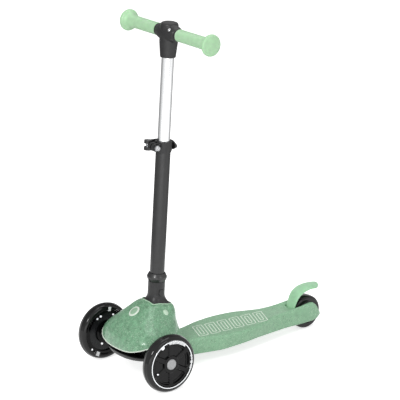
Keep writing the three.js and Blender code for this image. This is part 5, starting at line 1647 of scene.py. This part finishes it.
    def core_front(self, r: Array, angle: Array, face: float, outer: float) -> Array:
        """Heights of the core's outboard face at radii and angles.

        At radius r and angle a it lies below the core's rim by the dish, which is 0 at hub and rim and
        rises smoothly to its depth between them, and by a groove near the rim. On a spoke, where the
        distance r sin(a) from its middle is under half its width, the dish is shallower and the groove
        ends.

        Args:
            r: Radii, one for each row.
            angle: Angles, one for each column.
            face: Height of the core's rim and hub.
            outer: Radius of the core.

        Returns:
            Rows of heights.
        """
        sector = 2 * np.pi / self.spoke_count
        off = (angle + sector / 2) % sector - sector / 2
        beside = np.abs(r[:, None] * np.sin(off[None]))
        spoke = 1 - fade(beside, self.spoke_width / 2, self.spoke_width / 2 + self.spoke_fade)
        at_hub, rim_start, rim_end = self.dish_fades
        inside = fade(r, self.hub_radius, self.hub_radius + at_hub)
        zone = inside[:, None] * (1 - fade(r, outer - rim_start, outer - rim_end))[:, None]
        depth, place, width = self.groove
        groove = depth * np.exp(-(((r - outer + place) / width) ** 2))[:, None]
        return face - self.dish_depth * zone * (1 - self.spoke_rise * spoke) - groove * (1 - spoke)

    def build_core(self) -> Thing:
        """The core, which dips between its spokes outboard and has a pocket for the lamps inboard."""
        half, face = self.width / 2, self.width / 2 - self.core_set_in
        outer = self.ring_radius - self.ring_wall - self.ring_gap
        angle = turns(240)
        r = np.linspace(self.cap_radius + self.cap_room, outer, 44)
        x, y = r[:, None] * np.cos(angle), r[:, None] * np.sin(angle)
        front = np.stack([x, y, self.core_front(r, angle, face, outer)], -1)
        (inner_board, outer_board), (mouth, foot) = self.board, self.pocket_room
        floor, seat, room = self.pocket_depth - face, self.bearing_seat, self.axle_room
        seat_end, seat_mouth = (face - depth for depth in self.outer_seat)
        back = turned_grid(np.array([
            (outer, -face), (outer_board + mouth, -face), (outer_board + foot, floor),
            (inner_board - foot, floor), (inner_board - mouth, -face), (self.hub_radius, -face),
            (self.hub_radius, -half), (seat, -half), (seat, self.bearing_stop),
            (room, self.bearing_stop), (room, seat_end), (seat, seat_end), (seat, seat_mouth),
        ]), angle)
        surface = Surface.from_grid(np.concatenate([front, back, front[:1]]))
        return self.add("wheel_core_smoked", surface, CORE_SMOKED, ["wheel_core"], 30.0)

    def build_board_and_glints(self) -> None:
        """The lamp board in its pocket and the domed lenses on both faces of the wheel, whose white glow
        paints glints.
        """
        half, face = self.width / 2, self.width / 2 - self.core_set_in
        inner, outer = self.board
        top = self.pocket_depth - face - self.board_gap
        low = top - self.board_wall
        board = rounded([(inner, low), (outer, low), (outer, top), (inner, top)], 0.4, closed=True, steps=3)
        self.add("light_board_plate", turned(board, 120), BOARD_WHITE, ["light_board"])
        inboard, rim, outboard = self.lamp_sinks
        lenses = [self.lens(*lamp, top - inboard, -1) for lamp in self.inboard_glint_spots]
        lenses += [self.lens(*lamp, rim - half, -1) for lamp in self.rim_glint_spots]
        lenses += [self.lens(*lamp, face - outboard, 1) for lamp in self.outboard_glint_spots]
        self.add("glint_lenses", lenses[0].plus(*lenses[1:]), GLINT_LENS_WHITE)

    def lens(self, pitch: float, degrees: float, radius: float, foot: float, way: int) -> Surface:
        """A domed lens that stands on a height of the wheel and points outboard (1) or inboard (-1)."""
        side, shoulder, top = self.lens_rises
        profile = rounded([
            (NEAR_AXIS, foot), (radius, foot), (radius, foot + way * side),
            (radius * 0.6, foot + way * shoulder), (NEAR_AXIS, foot + way * top),
        ], 0.8, steps=5)
        return turned(profile, 24).through(shifted(*self.spot(pitch, degrees), 0))

    def build_cap(self) -> Thing:
        """The hub cap: a low dome inside a raised ring, with nothing on it."""
        face, r = self.width / 2 - self.core_set_in, self.cap_radius
        top, ceiling, peak = (face + rise for rise in self.cap_middle)
        outside = [(r * share, face + rise) for share, rise in self.cap_rows]
        inside = [(r - self.cap_wall, outside[-1][1]), (r - self.cap_wall, ceiling), (NEAR_AXIS, peak)]
        profile = rounded([(NEAR_AXIS, top), *outside, *inside], 0.5, steps=4)
        return self.add("hub_cap_domed", turned(profile, 96), HUB_GREY, ["hub_cap"])

    def build(self) -> None:
        """Makes all the pieces of the wheel."""
        self.build_tyre()
        self.build_ring()
        self.build_glint_blocks()
        self.build_core()
        self.build_board_and_glints()
        self.build_cap()


@dataclass
class RearWheel:
    """The small rear wheel in the deck's fork."""

    y: float = 443.0
    radius: float = 36.8
    width: float = 26.0
    shoulder: float = 6.0
    crown: float = 0.6
    core_radius: float = 24.0
    core_edge: Pair = (2.0, 1.0)
    core_gap: float = 0.3
    bearing_seat: float = 11.3
    bearing_stop: float = 5.2
    axle_room: float = 6.0

    def place(self, points: Array) -> Array:
        """Points on the wheel's own axis, placed in the layout."""
        return z_to_x(points) + np.array([0, self.y, self.radius])

    def build(self) -> None:
        """Makes tyre and core."""
        half, s, inner, outer = self.width / 2, self.shoulder, self.core_radius, self.radius
        angle = np.linspace(0, np.pi / 2, 12)
        upper = np.stack([outer - self.crown - s + s * np.sin(angle), half - s + s * np.cos(angle)], 1)
        seat = inner + self.core_gap
        foot = [(seat, -half), (seat, half)]
        profile = np.vstack([foot[1:], upper, [(outer, 0)], upper[::-1] * [1, -1], foot])
        tyre = turned(profile, 128).through(self.place)
        piece("rear_tyre_cast", tyre, TYRE_BLACK, Body.WHEEL_REAR, ["rear_tyre"])
        (across, along), stop = self.core_edge, self.bearing_stop
        core = rounded([
            (self.bearing_seat, -half), (inner - across, -half), (inner, along - half),
            (inner, half - along), (inner - across, half), (self.bearing_seat, half),
            (self.bearing_seat, stop), (self.axle_room, stop), (self.axle_room, -stop),
            (self.bearing_seat, -stop),
        ], 0.4, closed=True, steps=3)
        hub = turned(core, 96).through(self.place)
        piece("rear_core_moulding", hub, BLACK_PLASTIC, Body.WHEEL_REAR, ["rear_core"])


@dataclass
class BrakeGuard:
    """The rear mudguard that is pressed on the tyre.

    A row holds a share of its length, then shares of its reach, its rise and its half width.
    """

    pin: Pair = (401.0, 45.0)
    reach: float = 77.0
    rise: float = 52.0
    half_width: float = 17.4
    wall: float = 4.0
    crowns: Pair = (3.0, 6.0)
    crown_span: Pair = (0.55, 0.85)
    knuckle: float = 5.0
    half_knuckle: float = 14.5
    pin_hole: float = 2.8
    rows: Rows = (
        (0, 0.022, 0.04, 0.79), (0.08, 0.035, 0.17, 0.79), (0.15, 0.056, 0.27, 0.79),
        (0.22, 0.084, 0.37, 0.8), (0.29, 0.12, 0.5, 0.83), (0.35, 0.163, 0.615, 0.88),
        (0.43, 0.244, 0.75, 0.93), (0.54, 0.38, 0.87, 0.97), (0.65, 0.534, 0.957, 1),
        (0.78, 0.72, 1, 1), (0.88, 0.857, 0.99, 1), (0.955, 0.957, 0.972, 1), (1, 1, 0.96, 1),
    )
    tip_start: float = 0.78
    tip_power: float = 2.2

    def build(self) -> None:
        """Makes the guard: a rounded strap swept along its curve, with a hinge knuckle at its foot.

        A section's point at angle a lies half the width times cos(a)^0.4 across and wall / 2 times
        (1 - sin(a)^0.6) inwards from the curve, with the signs kept, plus the crown times the square
        of its share of the half width. The crown is low at the hinge, where the tyre is near, and high
        at the tip. Seen from above the tip is round: at a share t of the way from tip_start to the end
        its width falls to (1 - t^p)^(1/p).
        """
        share = np.sin(np.linspace(0, np.pi / 2, 130))
        reach, rise, half = np.moveaxis(table_curve(self.rows, share), -1, 0)
        line = np.stack([self.pin[0] + reach * self.reach, self.pin[1] + rise * self.rise], 1)
        run = np.gradient(line, axis=0)
        run /= np.linalg.norm(run, axis=1, keepdims=True)
        inward = np.stack([run[:, 1], -run[:, 0]], 1)
        angle = (2 * np.pi * (np.arange(72) + 0.5) / 72)[None]
        t = ((reach - self.tip_start) / (1 - self.tip_start)).clip(0, 1)
        end = np.maximum(1 - t**self.tip_power, 1e-4) ** (1 / self.tip_power)
        across = power_of(np.cos(angle), 0.4) * (half * end)[:, None] * self.half_width
        low, high = self.crowns
        crown = low + (high - low) * fade(share, *self.crown_span)
        bow = crown[:, None] * (across / self.half_width) ** 2
        depth = self.wall / 2 * (1 - power_of(np.sin(angle), 0.6)) + bow
        plan = line[:, None] + inward[:, None] * depth[..., None]
        grid = np.concatenate([across[..., None], plan], -1)
        thing = new_object("brake_guard_moulding", Surface.from_grid(grid, caps=True))
        carve(thing, [cross_rod(self.knuckle, -self.half_knuckle, self.half_knuckle, self.pin, 48)], "UNION")
        carve(thing, [cross_rod(self.pin_hole, -50, 50, self.pin, 32)])
        finish_piece(thing, GUARD_MINT, Body.BRAKE, ["brake_fender"])


# Stage


def facing(direction: Vector) -> Euler:
    """The turn that lets a camera or a lamp look in a direction, upright."""
    return direction.to_track_quat("-Z", "Y").to_euler()


@dataclass(frozen=True)
class Lamp:
    """A soft oblong lamp, with its place and size in metres and its power in watts."""

    name: str
    place: Triple
    size: Pair
    power: float

    def build(self, target: Vector) -> None:
        """Makes the lamp and points it at a place."""
        data = bpy.data.lights.new(self.name, "AREA")
        data.shape, data.energy = "RECTANGLE", self.power
        data.size, data.size_y = self.size
        lamp = add_object(self.name, data)
        lamp.location = self.place
        lamp.rotation_euler = facing(target - Vector(self.place))


@dataclass
class Studio:
    """Camera, soft lamps, pale floor and world, in metres."""

    azimuth: float = 52.9
    elevation: float = 17.83
    target: Triple = (0.0, -0.0456, 0.3404)
    distance: float = 4.4859
    lens_pixels: float = 2203.0
    picture_pixels: float = 400.0
    sensor: float = 36.0
    far_clip: float = 50.0
    lamps: tuple[Lamp, ...] = (
        Lamp("key_lamp", (1.6, -3.2, 2.6), (0.9, 0.9), 56.0),
        Lamp("front_lamp", (2.1, -1.65, 0.32), (2.4, 0.8), 8.5),
        Lamp("side_lamp", (3.4, 0.6, 1.6), (1.2, 1.2), 10.0),
        Lamp("top_lamp", (0.2, 0.4, 3.0), (1.8, 1.8), 18.0),
    )
    world_light: float = 0.53
    white: float = 1.0
    floor_half: float = 4.0
    floor_colour: Light = (0.9, 0.9, 0.9, 1.0)
    floor_roughness: float = 0.9
    floor_glow: float = 0.7
    screen_middle: Pair = (0.0, -0.16)
    screen_radius: float = 0.36
    screen_span: Pair = (0.13, 0.9)
    screen_turns: tuple[float, float, float, float, float] = (50.0, 120.0, 180.0, 225.0, 275.0)
    screen_grey: float = 0.35

    def back(self) -> Vector:
        """Direction from the object to the camera."""
        a, e = np.radians(self.azimuth), np.radians(self.elevation)
        return Vector((np.sin(a) * np.cos(e), -np.cos(a) * np.cos(e), np.sin(e)))

    def build_camera(self) -> None:
        """The camera at the photograph's viewing angle."""
        data = bpy.data.cameras.new("camera")
        data.sensor_width, data.clip_end = self.sensor, self.far_clip
        data.lens = self.lens_pixels / self.picture_pixels * self.sensor
        camera = add_object("camera", data)
        camera.location = Vector(self.target) + self.back() * self.distance
        camera.rotation_euler = facing(-self.back())
        bpy.context.scene.camera = camera

    def seen_white(self, tree: bpy.types.NodeTree) -> Plug:
        """1 for camera, glossy and transmission rays, and 0 for the rest."""
        path = new_node(tree, "ShaderNodeLightPath", {})
        total = path.outputs["Is Camera Ray"]
        for word in ("Is Glossy Ray", "Is Transmission Ray"):
            inputs = {0: total, 1: path.outputs[word]}
            total = new_node(tree, "ShaderNodeMath", inputs, operation="MAXIMUM").outputs["Value"]
        return total

    def build_world(self) -> None:
        """A world that shows white and lights at a plain level."""
        world = bpy.data.worlds.new("studio")
        world.use_nodes = True
        bpy.context.scene.world = world
        tree = world.node_tree
        inputs = {"Value": self.seen_white(tree), "To Min": self.world_light, "To Max": self.white}
        strength = new_node(tree, "ShaderNodeMapRange", inputs).outputs["Result"]
        fill_inputs(tree, tree.nodes["Background"], {"Color": (1, 1, 1, 1), "Strength": strength})

    def build_floor(self) -> None:
        """A pale floor that fades into the white behind it and keeps the scooter's shadow."""
        half = self.floor_half
        mesh = bpy.data.meshes.new("floor")
        corners = [(-half, -half, 0), (half, -half, 0), (half, half, 0), (-half, half, 0)]
        mesh.from_pydata(corners, [], [(0, 1, 2, 3)])
        material = bpy.data.materials.new("floor_pale")
        material.use_nodes = True
        tree = material.node_tree
        inputs = {0: self.seen_white(tree), 1: self.floor_glow}
        glow = new_node(tree, "ShaderNodeMath", inputs, operation="MULTIPLY").outputs["Value"]
        fill_inputs(tree, tree.nodes["Principled BSDF"], {
            "Base Color": self.floor_colour,
            "Roughness": self.floor_roughness,
            "Specular IOR Level": 0.0,
            "Emission Color": (1, 1, 1, 1),
            "Emission Strength": glow,
        })
        mesh.materials.append(material)
        add_object("floor", mesh)

    def build_screen(self) -> None:
        """A grey screen behind the stem that only gloss shows, so that round tubes get darker edges.

        It is a wall round part of a circle. Its shade falls from 1 at both ends, by the smooth step of
        the angle from the camera's side, to the screen's own grey between them.
        """
        start, dark_start, middle, dark_end, end = self.screen_turns
        ring = np.radians(np.concatenate([np.linspace(start, middle, 27), np.linspace(middle, end, 20)[1:]]))
        height = np.linspace(*self.screen_span, 5)
        toward = np.array(self.back().xy.normalized())
        leftward = np.array([toward[1], -toward[0]])
        plan = self.screen_radius * (np.cos(ring)[:, None] * toward + np.sin(ring)[:, None] * leftward)
        grid = np.zeros((len(height), len(ring), 3))
        grid[..., :2] = plan + np.array(self.screen_middle)
        grid[..., 2] = height[:, None]
        turn = np.degrees(ring)
        dark = fade(turn, start, dark_start) * fade(-turn, -end, -dark_end)
        shade = np.tile(1 + (self.screen_grey - 1) * dark, len(height)).astype(np.float32)
        mesh = bpy.data.meshes.new("screen")
        mesh.from_pydata(grid.reshape(-1, 3).tolist(), [], grid_faces(*grid.shape[:2], wrap=False).tolist())
        mesh.attributes.new("shade", "FLOAT", "POINT").data.foreach_set("value", shade)
        material = bpy.data.materials.new("screen_grey")
        material.use_nodes = True
        tree = material.node_tree
        tree.nodes.remove(tree.nodes["Principled BSDF"])
        level = new_node(tree, "ShaderNodeAttribute", {}, attribute_name="shade").outputs["Fac"]
        light = new_node(tree, "ShaderNodeEmission", {"Strength": level}).outputs["Emission"]
        fill_inputs(tree, tree.nodes["Material Output"], {"Surface": light})
        mesh.materials.append(material)
        screen = add_object("screen", mesh)
        screen.visible_camera = screen.visible_diffuse = screen.visible_transmission = False
        screen.visible_volume_scatter = screen.visible_shadow = False

    def build(self) -> None:
        """Makes the whole stage."""
        bpy.context.scene.view_settings.view_transform = "Standard"
        self.build_camera()
        self.build_world()
        self.build_floor()
        self.build_screen()
        for lamp in self.lamps:
            lamp.build(Vector(self.target))


def dress_nodes(nodes: dict[str, Thing], record: dict) -> None:
    """Gives every node of the frame that still shows the finish of its material slot.

    Args:
        nodes: The frame's objects by name.
        record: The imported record, whose subparts name each node's slot.
    """
    finishes = {finish.slot: finish for finish in ALL_FINISHES}
    for row in record["subparts"]:
        mesh = nodes[row["node"]].data
        mesh.materials.clear()
        mesh.materials.append(finishes[row["material_slot"]].material())


def main() -> None:
    """Builds the scooter's looks on its frame and reports each piece."""
    logging.basicConfig(level=logging.INFO, format="%(name)s: %(message)s")
    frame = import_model()
    nodes = frame["nodes"]
    Studio().build()
    dress_nodes(nodes, frame["record"])
    Deck().build()
    Hood().build()
    Truck().build()
    Socket().build(nodes)
    Tubes().build()
    Clamp().build()
    Handlebar().build()
    for side in Side:
        FrontWheel(side).build()
    RearWheel().build()
    BrakeGuard().build()


if __name__ == "__main__":
    main()
